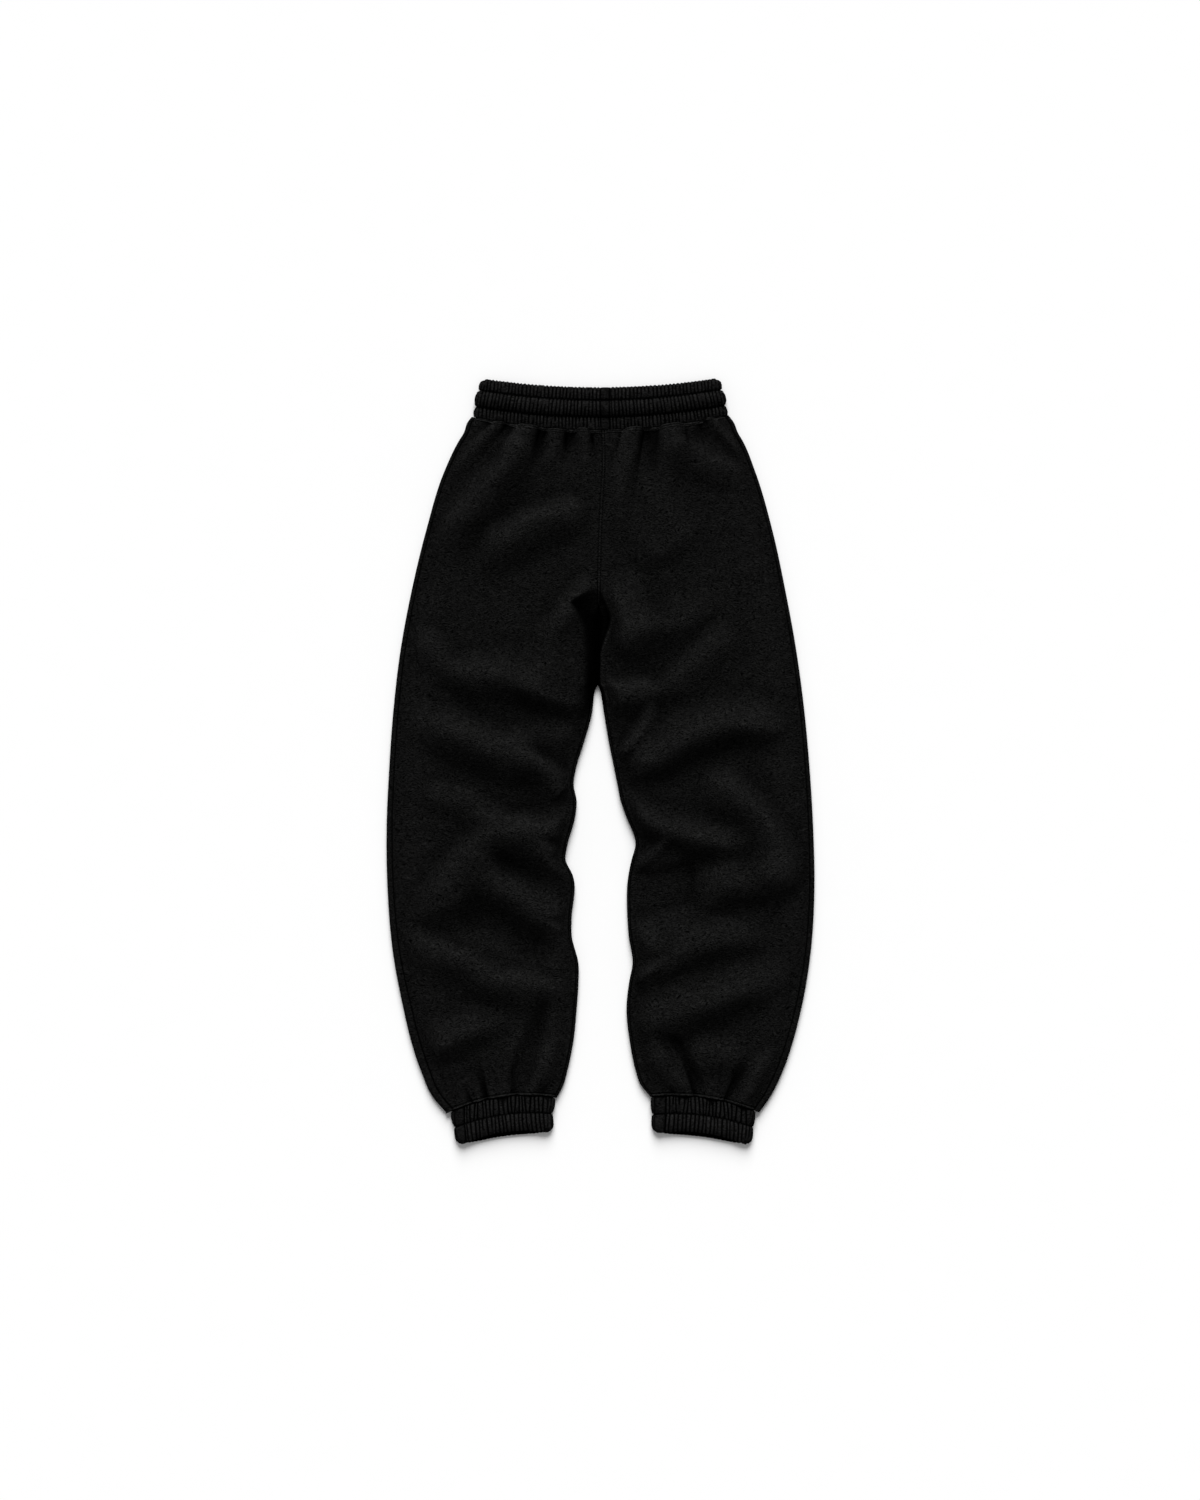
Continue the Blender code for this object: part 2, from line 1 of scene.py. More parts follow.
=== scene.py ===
# %% [markdown]
# # Jogger sweatpants in brushed fleece, laid flat
# The garment lies on a table with its front upwards.  It is sewn from seven pieces: a gathered
# elastic waistband, two fronts, two backs and two elastic cuffs.  The solids in the frame hold
# the places of these pieces.  This lesson dresses each one with a finer cloth wall, with its
# folds, gathers, ribs, seams, stitches and nap.  All tables and sizes are in millimetres.

# %% Load the frame
import math
from collections import namedtuple

import bpy
import numpy as np
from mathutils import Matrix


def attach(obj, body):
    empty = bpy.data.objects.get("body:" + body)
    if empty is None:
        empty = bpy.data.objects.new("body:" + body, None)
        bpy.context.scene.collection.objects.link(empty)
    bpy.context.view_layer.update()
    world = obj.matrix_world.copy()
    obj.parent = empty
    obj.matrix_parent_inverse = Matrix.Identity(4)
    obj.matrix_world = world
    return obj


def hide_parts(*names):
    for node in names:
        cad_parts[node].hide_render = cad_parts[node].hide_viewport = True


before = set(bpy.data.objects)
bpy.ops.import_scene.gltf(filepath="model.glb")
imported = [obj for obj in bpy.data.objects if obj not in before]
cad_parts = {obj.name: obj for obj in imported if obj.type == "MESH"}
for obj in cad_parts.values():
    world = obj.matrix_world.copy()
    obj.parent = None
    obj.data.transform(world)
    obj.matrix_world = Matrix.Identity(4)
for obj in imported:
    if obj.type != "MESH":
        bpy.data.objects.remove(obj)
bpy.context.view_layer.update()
MM = 0.001
RIGHT = "right"                 # the wearer's right leg, on the -X side
LEFT = "left"                   # the wearer's left leg, on the +X side
INWARDS = {RIGHT: 1.0, LEFT: -1.0}      # the way along X from a side seam to the inner leg

# %% [markdown]
# ## Camera
# A garment that is laid flat is seen best from straight above.  A long lens a few metres up
# keeps the legs as wide at the edge of the picture as they are in its middle.  A camera with no
# turn at all already looks down along -Z with +Y at the top.

# %% Camera
LENS = 85.0
SENSOR = 36.0
PICTURE_LENGTH = 1950.0         # what the long side of the picture takes in
PICTURE_CENTRE_X = -0.7
PICTURE_CENTRE_Y = 16.25
CLOTH_LEVEL = 10.0              # height at which the picture's scale holds

bpy.ops.object.select_all(action="DESELECT")
camera_height = PICTURE_LENGTH * LENS / SENSOR + CLOTH_LEVEL
bpy.ops.object.camera_add(location=(PICTURE_CENTRE_X * MM, PICTURE_CENTRE_Y * MM, camera_height * MM))
camera = bpy.context.object
camera.name = "camera"
camera.data.lens = LENS
camera.data.sensor_width = SENSOR
bpy.context.scene.camera = camera
print("the camera hangs", round(camera_height * MM, 3), "m above the table")

# %% [markdown]
# ## Light
# Black cloth shows its folds only where a slope turns towards the light.  So one broad, soft
# light comes from beyond the waist, low enough to graze the folds, and an even fill from all
# round keeps the far slopes from going dead.  A sun lamp with a wide angle gives soft shadows
# and the same strength at the waist and at the cuffs, which a near lamp wouldn't.

# %% Light
KEY_ELEVATION = 32.0
KEY_ANGLE = 38.0
KEY_STRENGTH = 4.4
FILL_STRENGTH = 0.3

bpy.ops.object.light_add(type="SUN", rotation=(math.radians(KEY_ELEVATION - 90.0), 0.0, 0.0))
key = bpy.context.object
key.name = "key_light"
key.data.energy = KEY_STRENGTH
key.data.angle = math.radians(KEY_ANGLE)
world = bpy.data.worlds.new("studio")
bpy.context.scene.world = world
world.use_nodes = True
world.node_tree.nodes["Background"].inputs["Color"].default_value = (1.0, 1.0, 1.0, 1.0)
world.node_tree.nodes["Background"].inputs["Strength"].default_value = FILL_STRENGTH
bpy.context.scene.view_settings.view_transform = "Standard"
print("key light", KEY_STRENGTH, "fill", FILL_STRENGTH)

# %% [markdown]
# ## Node helpers
# Every finish below is made from a few kinds of node.  Small helpers keep the cells short: one
# adds a node and links what feeds it, and two more add a Math node.  They give back plain
# sockets, so a chain of them reads like a formula.

# %% Node helpers
def add_node(tree, kind, feeds=None, **settings):
    """Add a node, set its properties, and link or set its inputs from feeds."""
    node = tree.nodes.new(kind)
    for name, value in settings.items():
        setattr(node, name, value)
    for name, value in (feeds or {}).items():
        if isinstance(value, bpy.types.NodeSocket):
            tree.links.new(value, node.inputs[name])
        else:
            node.inputs[name].default_value = value
    return node


def sum_of(tree, operation, first, second=0.0, third=0.0, clamp=False):
    """A Math node's result."""
    feeds = {0: first, 1: second, 2: third}
    return add_node(tree, "ShaderNodeMath", feeds, operation=operation, use_clamp=clamp).outputs[0]


def vector_of(tree, operation, first, second):
    """A Vector Math node's result.  SCALE takes a plain number as its second value."""
    feeds = {0: first, "Scale" if operation == "SCALE" else 1: second}
    return add_node(tree, "ShaderNodeVectorMath", feeds, operation=operation).outputs[0]


def new_finish(name):
    """A material with its tree, its shader and a point's place in millimetres."""
    material = bpy.data.materials.new(name)
    material.use_nodes = True
    tree = material.node_tree
    place = add_node(tree, "ShaderNodeTexCoord").outputs["Object"]
    scale = (1.0 / MM, 1.0 / MM, 1.0 / MM)
    place = add_node(tree, "ShaderNodeMapping", {"Vector": place, "Scale": scale}).outputs[0]
    return material, tree, tree.nodes["Principled BSDF"], place


def noise(tree, place, size, detail=2.0, rough=0.5, distortion=0.0):
    """Noise with spots about size wide, from 0 to 1 with 0.5 in the middle."""
    feeds = {"Vector": place, "Scale": 1.0 / size, "Detail": detail}
    feeds.update({"Roughness": rough, "Distortion": distortion})
    return add_node(tree, "ShaderNodeTexNoise", feeds).outputs["Fac"]


def stretched(tree, place, size, shift):
    """The same place on a pattern with spots of a size along X and Y, slid to fresh ones."""
    across, along = size
    feeds = {"Vector": place, "Scale": (1.0 / across, 1.0 / along, 1.0 / along)}
    feeds["Location"] = (shift, shift * 0.7, shift * 1.3)
    return add_node(tree, "ShaderNodeMapping", feeds).outputs[0]


print("node helpers are ready")

# %% [markdown]
# ## Table
# The garment rests on a plain pale table top.  It is bright enough to read as white, so that
# only the soft shadow close to the cloth shows.  A faint grain keeps it from being a flat tone.

# %% Table
FLOOR_SIZE = 60.0               # far enough for the lowest view to see no end of it
FLOOR_DROP = 0.2                # the table lies just below the cloth

material, tree, shader, place = new_finish("pale_table")
grain = noise(tree, place, 40.0)
ramp = add_node(tree, "ShaderNodeMapRange", {"Value": grain, "To Min": 0.955, "To Max": 0.965})
shader.inputs["Roughness"].default_value = 0.9
shader.inputs["Specular IOR Level"].default_value = 0.0
pale = ramp.outputs[0]
tone = add_node(tree, "ShaderNodeCombineColor", {0: pale, 1: pale, 2: pale})
tree.links.new(tone.outputs[0], shader.inputs["Base Color"])
bpy.ops.object.select_all(action="DESELECT")
bpy.ops.mesh.primitive_plane_add(size=FLOOR_SIZE, location=(0.0, 0.0, -FLOOR_DROP * MM))
floor = bpy.context.object
floor.name = "table"
floor.data.materials.append(material)
print("the table is", FLOOR_SIZE, "m wide")

# %% [markdown]
# ## Brushed fleece
# Brushing pulls short curly fibres out of the knit.  They lie in wisps a few millimetres long,
# mostly across the leg, so the surface is mottled light and dark at the scale of a millimetre.
# Strands could be grown as hair, but millions of them wouldn't travel with the part.  A noise
# pattern has a simpler wisp in it: where noise passes through its middle value it draws thin,
# curling lines.  Lines from two such patterns, one raised and one sunk, and a fine grain make
# the nap, which drives both the colour and the bump.  A soft mottle of larger spots is where
# the nap was stroked this way or that.  The attribute named shade, which each piece carries,
# holds painted shade for its troughs and seams and painted highlights for its ridges.

# %% Brushed fleece
EDDY_SIZE, EDDY_REACH = 16.0, 14.0      # eddies in the nap, and how far they bend the wisps
RAISED_WISP, SUNK_WISP = (4.0, 1.65), (4.4, 1.85)       # sizes along X and along Y
WISP_LINE = 0.12                # half width of a wisp's line, in the noise's own values
BREAK_SIZE = 1.3                # size of the breaks in the lines, as a share of a wisp
BREAK_EDGE = (0.42, 0.58)       # values of the breaks' noise between which a line appears
GRAIN_SIZE = (2.6, 1.2)
WISP_SHARE, GRAIN_SHARE = 0.8, 2.5      # what the wisps and the grain add to the nap
MOTTLE_SIZE = 22.0
DARKEST = 0.02                  # share of its colour that the deepest painted shade leaves
BREAK_SHIFT, SUNK_SHIFT, GRAIN_SHIFT = 37.0, 91.0, 11.0         # slides, so that none repeats


def wisps(tree, place, size, shift):
    """Thin curling lines, 1 on a line and 0 off it, broken into short wisps."""
    spots = noise(tree, stretched(tree, place, size, shift), 1.0, detail=1.0)
    from_middle = sum_of(tree, "ABSOLUTE", sum_of(tree, "SUBTRACT", spots, 0.5))
    ridge = sum_of(tree, "SUBTRACT", 1.0, sum_of(tree, "DIVIDE", from_middle, WISP_LINE), clamp=True)
    breaks = noise(tree, stretched(tree, place, size, shift + BREAK_SHIFT), BREAK_SIZE, detail=0.0)
    feeds = {"Value": breaks, "From Min": BREAK_EDGE[0], "From Max": BREAK_EDGE[1]}
    kept = add_node(tree, "ShaderNodeMapRange", feeds)
    return sum_of(tree, "MULTIPLY", ridge, kept.outputs[0])


def fleece(name, colour, nap_depth, mottle_depth, bump_depth):
    """Black brushed fleece with a curly nap, darkened and lightened by the painted shade attribute."""
    material, tree, shader, place = new_finish(name)
    feeds = {"Vector": place, "Scale": 1.0 / EDDY_SIZE, "Detail": 1.0}
    eddies = add_node(tree, "ShaderNodeTexNoise", feeds)
    drift = vector_of(tree, "SUBTRACT", eddies.outputs["Color"], (0.5, 0.5, 0.5))
    bent = vector_of(tree, "ADD", place, vector_of(tree, "SCALE", drift, EDDY_REACH))
    raised = wisps(tree, bent, RAISED_WISP, 0.0)
    sunk = wisps(tree, bent, SUNK_WISP, SUNK_SHIFT)
    grain = noise(tree, stretched(tree, bent, GRAIN_SIZE, GRAIN_SHIFT), 1.0, detail=0.0)
    grain = sum_of(tree, "SUBTRACT", grain, 0.5)
    nap = sum_of(tree, "MULTIPLY", sum_of(tree, "SUBTRACT", raised, sunk), WISP_SHARE)
    nap = sum_of(tree, "MULTIPLY_ADD", grain, GRAIN_SHARE, nap)
    stroked = sum_of(tree, "SUBTRACT", noise(tree, place, MOTTLE_SIZE, detail=3.0, rough=0.6), 0.5)
    light = sum_of(tree, "MULTIPLY_ADD", nap, nap_depth, 1.0)
    light = sum_of(tree, "MULTIPLY_ADD", stroked, mottle_depth, light)
    # The shade attribute scales the colour: painted shade darkens it and painted highlights lighten it.
    shade = add_node(tree, "ShaderNodeAttribute", attribute_name="shade").outputs["Fac"]
    light = sum_of(tree, "MULTIPLY", light, sum_of(tree, "MULTIPLY_ADD", shade, -1.0, 1.0))
    light = sum_of(tree, "MAXIMUM", light, DARKEST)
    tree.links.new(vector_of(tree, "SCALE", colour, light), shader.inputs["Base Color"])
    feeds = {"Height": nap, "Strength": 1.0, "Distance": bump_depth * MM}
    relief = add_node(tree, "ShaderNodeBump", feeds)
    tree.links.new(relief.outputs[0], shader.inputs["Normal"])
    rough = add_node(tree, "ShaderNodeMapRange", {"Value": grain, "From Min": -0.3, "From Max": 0.3})
    rough.inputs["To Min"].default_value = 0.9
    rough.inputs["To Max"].default_value = 1.0
    tree.links.new(rough.outputs[0], shader.inputs["Roughness"])
    shader.inputs["Specular IOR Level"].default_value = 0.0
    return material


leg_fleece = fleece(
    "leg_fleece", (0.0059, 0.0059, 0.0058), nap_depth=0.85, mottle_depth=0.04, bump_depth=0.55
)
band_fleece = fleece(
    "band_fleece", (0.0096, 0.0095, 0.0094), nap_depth=0.8, mottle_depth=0.06, bump_depth=0.4
)
cuff_fleece = fleece(
    "cuff_fleece", (0.0118, 0.0117, 0.0116), nap_depth=0.75, mottle_depth=0.1, bump_depth=0.4
)
print("three fleeces, one for the legs and two for the ribbed ends")

# %% [markdown]
# ## Thread
# The seams are topstitched in black thread.  It is smoother than the fleece, so it takes a
# small gloss, and its twist is a fine stripe round each stitch.

# %% Thread
def thread_finish():
    """Smooth black thread with the twist of its strands."""
    material, tree, shader, place = new_finish("black_thread")
    twist = add_node(tree, "ShaderNodeTexWave", {"Vector": place, "Scale": 0.9, "Distortion": 1.5})
    feeds = {"Value": twist.outputs["Fac"], "To Min": 0.6, "To Max": 1.3}
    tone = add_node(tree, "ShaderNodeMapRange", feeds)
    tint = vector_of(tree, "SCALE", (0.004, 0.004, 0.004), tone.outputs[0])
    tree.links.new(tint, shader.inputs["Base Color"])
    relief = add_node(tree, "ShaderNodeBump", {"Height": twist.outputs["Fac"], "Distance": 0.1 * MM})
    tree.links.new(relief.outputs[0], shader.inputs["Normal"])
    shader.inputs["Roughness"].default_value = 0.6
    shader.inputs["Specular IOR Level"].default_value = 0.1
    return material


black_thread = thread_finish()
print("thread is ready")

# %% [markdown]
# ## The garment's sizes
# The pieces repeat the sizes of the solids, so that each wall lies where its solid lies.  A
# table gives a line by a few of its points, and a smooth curve is read through them.

# %% Outlines of the legs
LegRow = namedtuple("LegRow", "y right left")           # a size of either leg at height y

# Distance of each side edge from the centre line.
SIDE_EDGE = [
    LegRow(452.5, 165.4, 166.0),
    LegRow(443.0, 173.0, 173.2),
    LegRow(429.0, 178.0, 179.0),
    LegRow(419.0, 184.2, 184.9),
    LegRow(380.0, 202.9, 200.9),
    LegRow(302.0, 227.0, 223.8),
    LegRow(224.0, 245.8, 240.6),
    LegRow(146.0, 260.4, 254.8),
    LegRow(68.0, 269.6, 265.2),
    LegRow(-10.0, 275.2, 272.3),
    LegRow(-88.0, 278.5, 276.9),
    LegRow(-166.0, 277.2, 278.4),
    LegRow(-244.0, 270.7, 273.9),
    LegRow(-322.0, 256.2, 261.0),
    LegRow(-361.0, 247.0, 251.0),
    LegRow(-400.0, 234.2, 237.9),
    LegRow(-439.0, 215.7, 218.3),
    LegRow(-455.0, 201.5, 207.0),
]

# Distance of each inner leg from the centre line, scalloped where folds run out over it.
INSEAM_EDGE = [
    LegRow(100.0, 4.1, -3.1),
    LegRow(94.0, 7.3, -0.4),
    LegRow(86.0, 8.7, 1.2),
    LegRow(68.0, 10.4, 3.9),
    LegRow(29.0, 20.8, 10.4),
    LegRow(-10.0, 32.5, 18.2),
    LegRow(-29.0, 35.1, 22.1),
    LegRow(-49.0, 31.2, 26.0),
    LegRow(-68.0, 32.5, 32.5),
    LegRow(-107.0, 42.9, 45.5),
    LegRow(-127.0, 45.5, 40.3),
    LegRow(-146.0, 36.4, 36.4),
    LegRow(-205.0, 37.7, 35.1),
    LegRow(-224.0, 37.7, 36.4),
    LegRow(-263.0, 28.6, 41.6),
    LegRow(-283.0, 28.6, 37.7),
    LegRow(-322.0, 31.2, 33.8),
    LegRow(-361.0, 35.1, 37.7),
    LegRow(-400.0, 42.9, 45.5),
    LegRow(-419.0, 48.1, 52.0),
    LegRow(-436.0, 57.0, 65.0),
]

CentrePoint = namedtuple("CentrePoint", "y x")
CENTRE_SEAM = [
    CentrePoint(437.0, 3.1),
    CentrePoint(384.0, 3.9),
    CentrePoint(341.0, 1.3),
    CentrePoint(267.0, -1.5),
    CentrePoint(194.0, -2.6),
    CentrePoint(101.0, -3.6),
]
CROTCH_Y = 205.0                # where the four legs' pieces meet

# How far the back wraps over the side edge to the side seam, which wanders down the leg.
SIDE_LAP = [
    LegRow(452.5, 5.5, 5.5),
    LegRow(380.0, 4.6, 4.4),
    LegRow(302.0, 4.8, 4.4),
    LegRow(146.0, 6.0, 5.0),
    LegRow(-88.0, 7.0, 5.8),
    LegRow(-244.0, 8.4, 6.4),
    LegRow(-361.0, 10.2, 7.6),
    LegRow(-455.0, 9.0, 7.4),
]

# The hollow between the legs below the crotch, where the cloth sinks and painted shadow darkens it.
HollowRow = namedtuple("HollowRow", "y left right")
HOLLOW = [
    HollowRow(224.0, -5.0, -2.0),
    HollowRow(216.0, -18.0, 0.0),
    HollowRow(208.0, -29.0, 3.2),
    HollowRow(200.0, -26.0, 6.2),
    HollowRow(189.0, -20.0, 10.6),
    HollowRow(176.0, -13.5, 8.6),
    HollowRow(168.0, -11.5, 5.9),
    HollowRow(148.0, -9.0, -0.4),
    HollowRow(133.0, -8.6, -5.0),
    HollowRow(105.0, -9.4, -6.2),
    HollowRow(88.0, -10.6, -5.0),
    HollowRow(62.0, -13.4, -9.0),
]


def smooth(value):
    """Rise gently from 0 to 1 as value does."""
    value = np.clip(value, 0.0, 1.0)
    return value * value * (3.0 - 2.0 * value)


def near(distance, width):
    """1 on a line, dying away on both its hands over width."""
    return np.exp(-(distance / width) ** 2)


def starting(distance, length, least):
    """Rise to 1 over length, from the little that is left where the distance is 0."""
    return smooth(least + (1.0 - least) * distance / length)


def read_line(table, column, y):
    """Read a table's column at heights y along a smooth curve through its rows."""
    heights = np.array([row.y for row in table])
    places = np.array([getattr(row, column) for row in table])
    slopes = np.gradient(places, heights)
    y = np.clip(y, heights[-1], heights[0])
    after = np.clip(np.searchsorted(-heights, -y), 1, len(table) - 1)
    before = after - 1
    span = heights[after] - heights[before]
    t = (y - heights[before]) / span
    ease = t * t * (3.0 - 2.0 * t)
    start = places[before] * (1.0 - ease) + slopes[before] * span * t * (1.0 - t) ** 2
    end = places[after] * ease - slopes[after] * span * t * t * (1.0 - t)
    return start + end


widest = max(row.right + row.left for row in SIDE_EDGE)
print("the legs lie", widest, "mm wide")

# %% [markdown]
# ## Lines across the waistband and the cuffs
# A gathered channel is a tube between two lines of stitches.  Each line runs between two ends
# and sags by a bow.  The height is that of the cloth's top there, and the puff is the swell of
# the channel that follows.

# %% Waistband and cuff lines
Line = namedtuple("Line", "left_x left_y right_x right_y bow height puff")
WAISTBAND = [
    Line(-164.5, 449.6, 165.0, 451.8, -18.2, 11.0, 2.6),
    Line(-162.2, 462.7, 161.8, 464.3, -14.5, 11.4, 4.8),
    Line(-158.0, 483.9, 157.0, 484.8, -13.8, 11.4, 3.2),
    Line(-153.8, 498.2, 153.6, 499.0, -11.8, 10.0, 0.0),
]
CUFFS = {
    RIGHT: [
        Line(-194.0, -453.8, -60.0, -436.0, 9.8, 10.5, 2.8),
        Line(-189.8, -474.9, -63.2, -457.0, 7.7, 10.2, 3.4),
        Line(-185.0, -497.0, -63.6, -480.2, 5.6, 8.5, 0.0),
    ],
    LEFT: [
        Line(66.0, -435.3, 200.8, -453.2, 8.3, 10.5, 2.8),
        Line(68.0, -458.0, 197.8, -474.2, 7.2, 10.2, 3.4),
        Line(69.0, -480.9, 193.9, -497.3, 5.2, 8.5, 0.0),
    ],
}


def line_curvature(line):
    """How strongly a line of stitches bends along X."""
    return -4.0 * line.bow / (line.right_x - line.left_x) ** 2


def line_y(line, x):
    """Height of a seam or stitch line at x."""
    slope = (line.right_y - line.left_y) / (line.right_x - line.left_x)
    straight = line.left_y + slope * (x - line.left_x)
    return straight + line_curvature(line) * (x - line.left_x) * (x - line.right_x)


print("the waistband is", WAISTBAND[0].right_x - WAISTBAND[0].left_x, "mm wide at its seam")

# %% [markdown]
# ## Folds
# Fleece is thick, so it lies in broad soft ridges and troughs, not in sharp creases.  They
# could be made by a cloth simulation, but it would give other folds than these.  Each fold is
# listed: it runs from a start over a middle to an end, has a width on each hand of that
# way and a rise, and dies away over a share of its length at either end.

# %% Fold table
Fold = namedtuple("Fold", "leg start middle end left right rise fade_in fade_out")
FOLDS = [
    # hip and thigh, right
    Fold(RIGHT, (-215, 372), (-170, 410), (-128, 446), 20, 26, 6.0, 0.4, 0.2),
    Fold(RIGHT, (-232, 262), (-142, 366), (-92, 440), 34, 48, 14.0, 0.4, 0.15),
    Fold(RIGHT, (-66, 452), (-74, 415), (-96, 372), 12, 12, -6.5, 0.0, 0.5),
    Fold(RIGHT, (-40, 452), (-42, 410), (-54, 372), 11, 11, -3.5, 0.0, 0.5),
    Fold(RIGHT, (-172, 250), (-92, 307), (-4, 337), 32, 48, 12.5, 0.35, 0.25),
    Fold(RIGHT, (-84, 140), (-46, 194), (-2, 230), 28, 30, 9.5, 0.6, 0.1),
    Fold(RIGHT, (-250, 178), (-212, 138), (-165, 100), 30, 34, 6.0, 0.3, 0.35),
    Fold(RIGHT, (-212, 98), (-134, 112), (-50, 88), 50, 46, 14.0, 0.35, 0.45),
    Fold(RIGHT, (-124, 106), (-60, 90), (-6, 72), 150, 36, 11.5, 0.4, 0.0),
    # knee and shin, right
    Fold(RIGHT, (-262, 66), (-168, 30), (-60, -10), 44, 48, 16.0, 0.4, 0.3),
    Fold(RIGHT, (-120, 18), (-80, 2), (-36, -32), 14, 38, 10.0, 0.35, 0.1),
    Fold(RIGHT, (-150, 36), (-88, 31), (-22, 38), 32, 24, 5.0, 0.4, 0.0),
    Fold(RIGHT, (-240, -38), (-180, -54), (-125, -80), 26, 32, 6.0, 0.3, 0.4),
    Fold(RIGHT, (-140, -86), (-82, -82), (-18, -76), 30, 34, 9.0, 0.4, 0.0),
    Fold(RIGHT, (-186, -85), (-112, -99), (-30, -134), 46, 36, 15.0, 0.3, 0.0),
    Fold(RIGHT, (-234, -216), (-197, -150), (-140, -90), 34, 62, 14.5, 0.38, 0.25),
    Fold(RIGHT, (-176, -142), (-108, -174), (-34, -218), 36, 44, 11.0, 0.35, 0.0),
    Fold(RIGHT, (-200, -222), (-148, -214), (-60, -262), 50, 28, -6.5, 0.25, 0.25),
    Fold(RIGHT, (-244, -196), (-205, -192), (-165, -165), 16, 34, 2.0, 0.35, 0.35),
    Fold(RIGHT, (-72, -196), (-56, -206), (-34, -224), 12, 10, -4.5, 0.5, 0.0),
    Fold(RIGHT, (-86, -98), (-64, -107), (-36, -126), 12, 10, -5.0, 0.5, 0.0),
    Fold(RIGHT, (-264, -216), (-165, -266), (-30, -304), 28, 44, 11.5, 0.25, 0.3),
    Fold(RIGHT, (-226, -396), (-180, -351), (-108, -334), 44, 32, 12.0, 0.35, 0.55),
    Fold(RIGHT, (-66, -292), (-90, -362), (-113, -440), 22, 22, -7.5, 0.4, 0.0),
    Fold(RIGHT, (-56, -345), (-72, -395), (-90, -440), 20, 18, 5.0, 0.4, 0.3),
    # hip and thigh, left
    Fold(LEFT, (84, 436), (132, 396), (200, 366), 22, 40, 8.0, 0.2, 0.4),
    Fold(LEFT, (130, 458), (160, 432), (200, 394), 16, 22, 9.0, 0.2, 0.3),
    Fold(LEFT, (69, 452), (68, 412), (61, 352), 16, 16, -6.5, 0.0, 0.6),
    Fold(LEFT, (35, 254), (82, 282), (134, 322), 150, 32, 6.0, 0.35, 0.35),
    Fold(LEFT, (0, 212), (24, 211), (58, 203), 50, 40, 4.5, 0.0, 0.5),
    Fold(LEFT, (2, 168), (36, 179), (88, 194), 86, 64, 13.0, 0.35, 0.45),
    Fold(LEFT, (10, 140), (76, 176), (168, 212), 44, 34, 7.5, 0.25, 0.4),
    Fold(LEFT, (-10, 90), (46, 94), (94, 92), 26, 38, 13.0, 0.0, 0.4),
    Fold(LEFT, (66, 82), (116, 128), (176, 196), 26, 46, 8.5, 0.3, 0.35),
    Fold(LEFT, (12, 2), (46, 36), (76, 84), 16, 16, 8.0, 0.1, 0.3),
    # knee and shin, left
    Fold(LEFT, (30, -25), (132, 37), (250, 46), 54, 36, 15.5, 0.22, 0.25),
    Fold(LEFT, (122, -16), (202, -68), (250, -176), 36, 52, 13.5, 0.25, 0.25),
    Fold(LEFT, (34, -70), (112, -96), (198, -117), 36, 26, 12.5, 0.0, 0.25),
    Fold(LEFT, (28, -166), (94, -158), (164, -130), 40, 50, -14.5, 0.0, 0.4),
    Fold(LEFT, (38, -136), (70, -116), (98, -98), 12, 14, 4.5, 0.0, 0.3),
    Fold(LEFT, (96, -160), (176, -155), (262, -155), 44, 41, 13.0, 0.25, 0.25),
    Fold(LEFT, (8, -226), (96, -224), (200, -214), 28, 40, 6.5, 0.15, 0.5),
    Fold(LEFT, (34, -238), (56, -240), (86, -230), 30, 16, 4.0, 0.0, 0.4),
    Fold(LEFT, (38, -288), (62, -270), (88, -248), 10, 12, 3.5, 0.0, 0.4),
    Fold(LEFT, (38, -284), (122, -244), (230, -216), 34, 32, 8.5, 0.1, 0.3),
    Fold(LEFT, (30, -361), (130, -313), (260, -269), 50, 41, 14.0, 0.3, 0.32),
    Fold(LEFT, (84, -350), (113, -386), (128, -440), 15, 9, -5.5, 0.25, 0.0),
    Fold(LEFT, (60, -352), (90, -392), (112, -436), 14, 34, 5.5, 0.4, 0.2),
    Fold(LEFT, (110, -362), (150, -376), (194, -368), 32, 40, 5.5, 0.35, 0.35),
    Fold(LEFT, (194, -380), (176, -410), (164, -442), 12, 12, -3.5, 0.4, 0.0),
    Fold(LEFT, (224, -360), (204, -404), (184, -440), 24, 18, 6.0, 0.4, 0.0),
]
FOLD_STEPS = 12                 # straight steps along a fold's curved way
NARROW_END = 0.6                # a fold's width at its ends as a share of its full width


def fold_way(fold):
    """Points along the smooth way through a fold's start, middle and end."""
    start, middle, end = (np.array(point, float) for point in (fold.start, fold.middle, fold.end))
    handle = 2.0 * middle - 0.5 * (start + end)
    t = np.linspace(0.0, 1.0, FOLD_STEPS + 1)[:, None]
    return (1.0 - t) ** 2 * start + 2.0 * t * (1.0 - t) * handle + t ** 2 * end


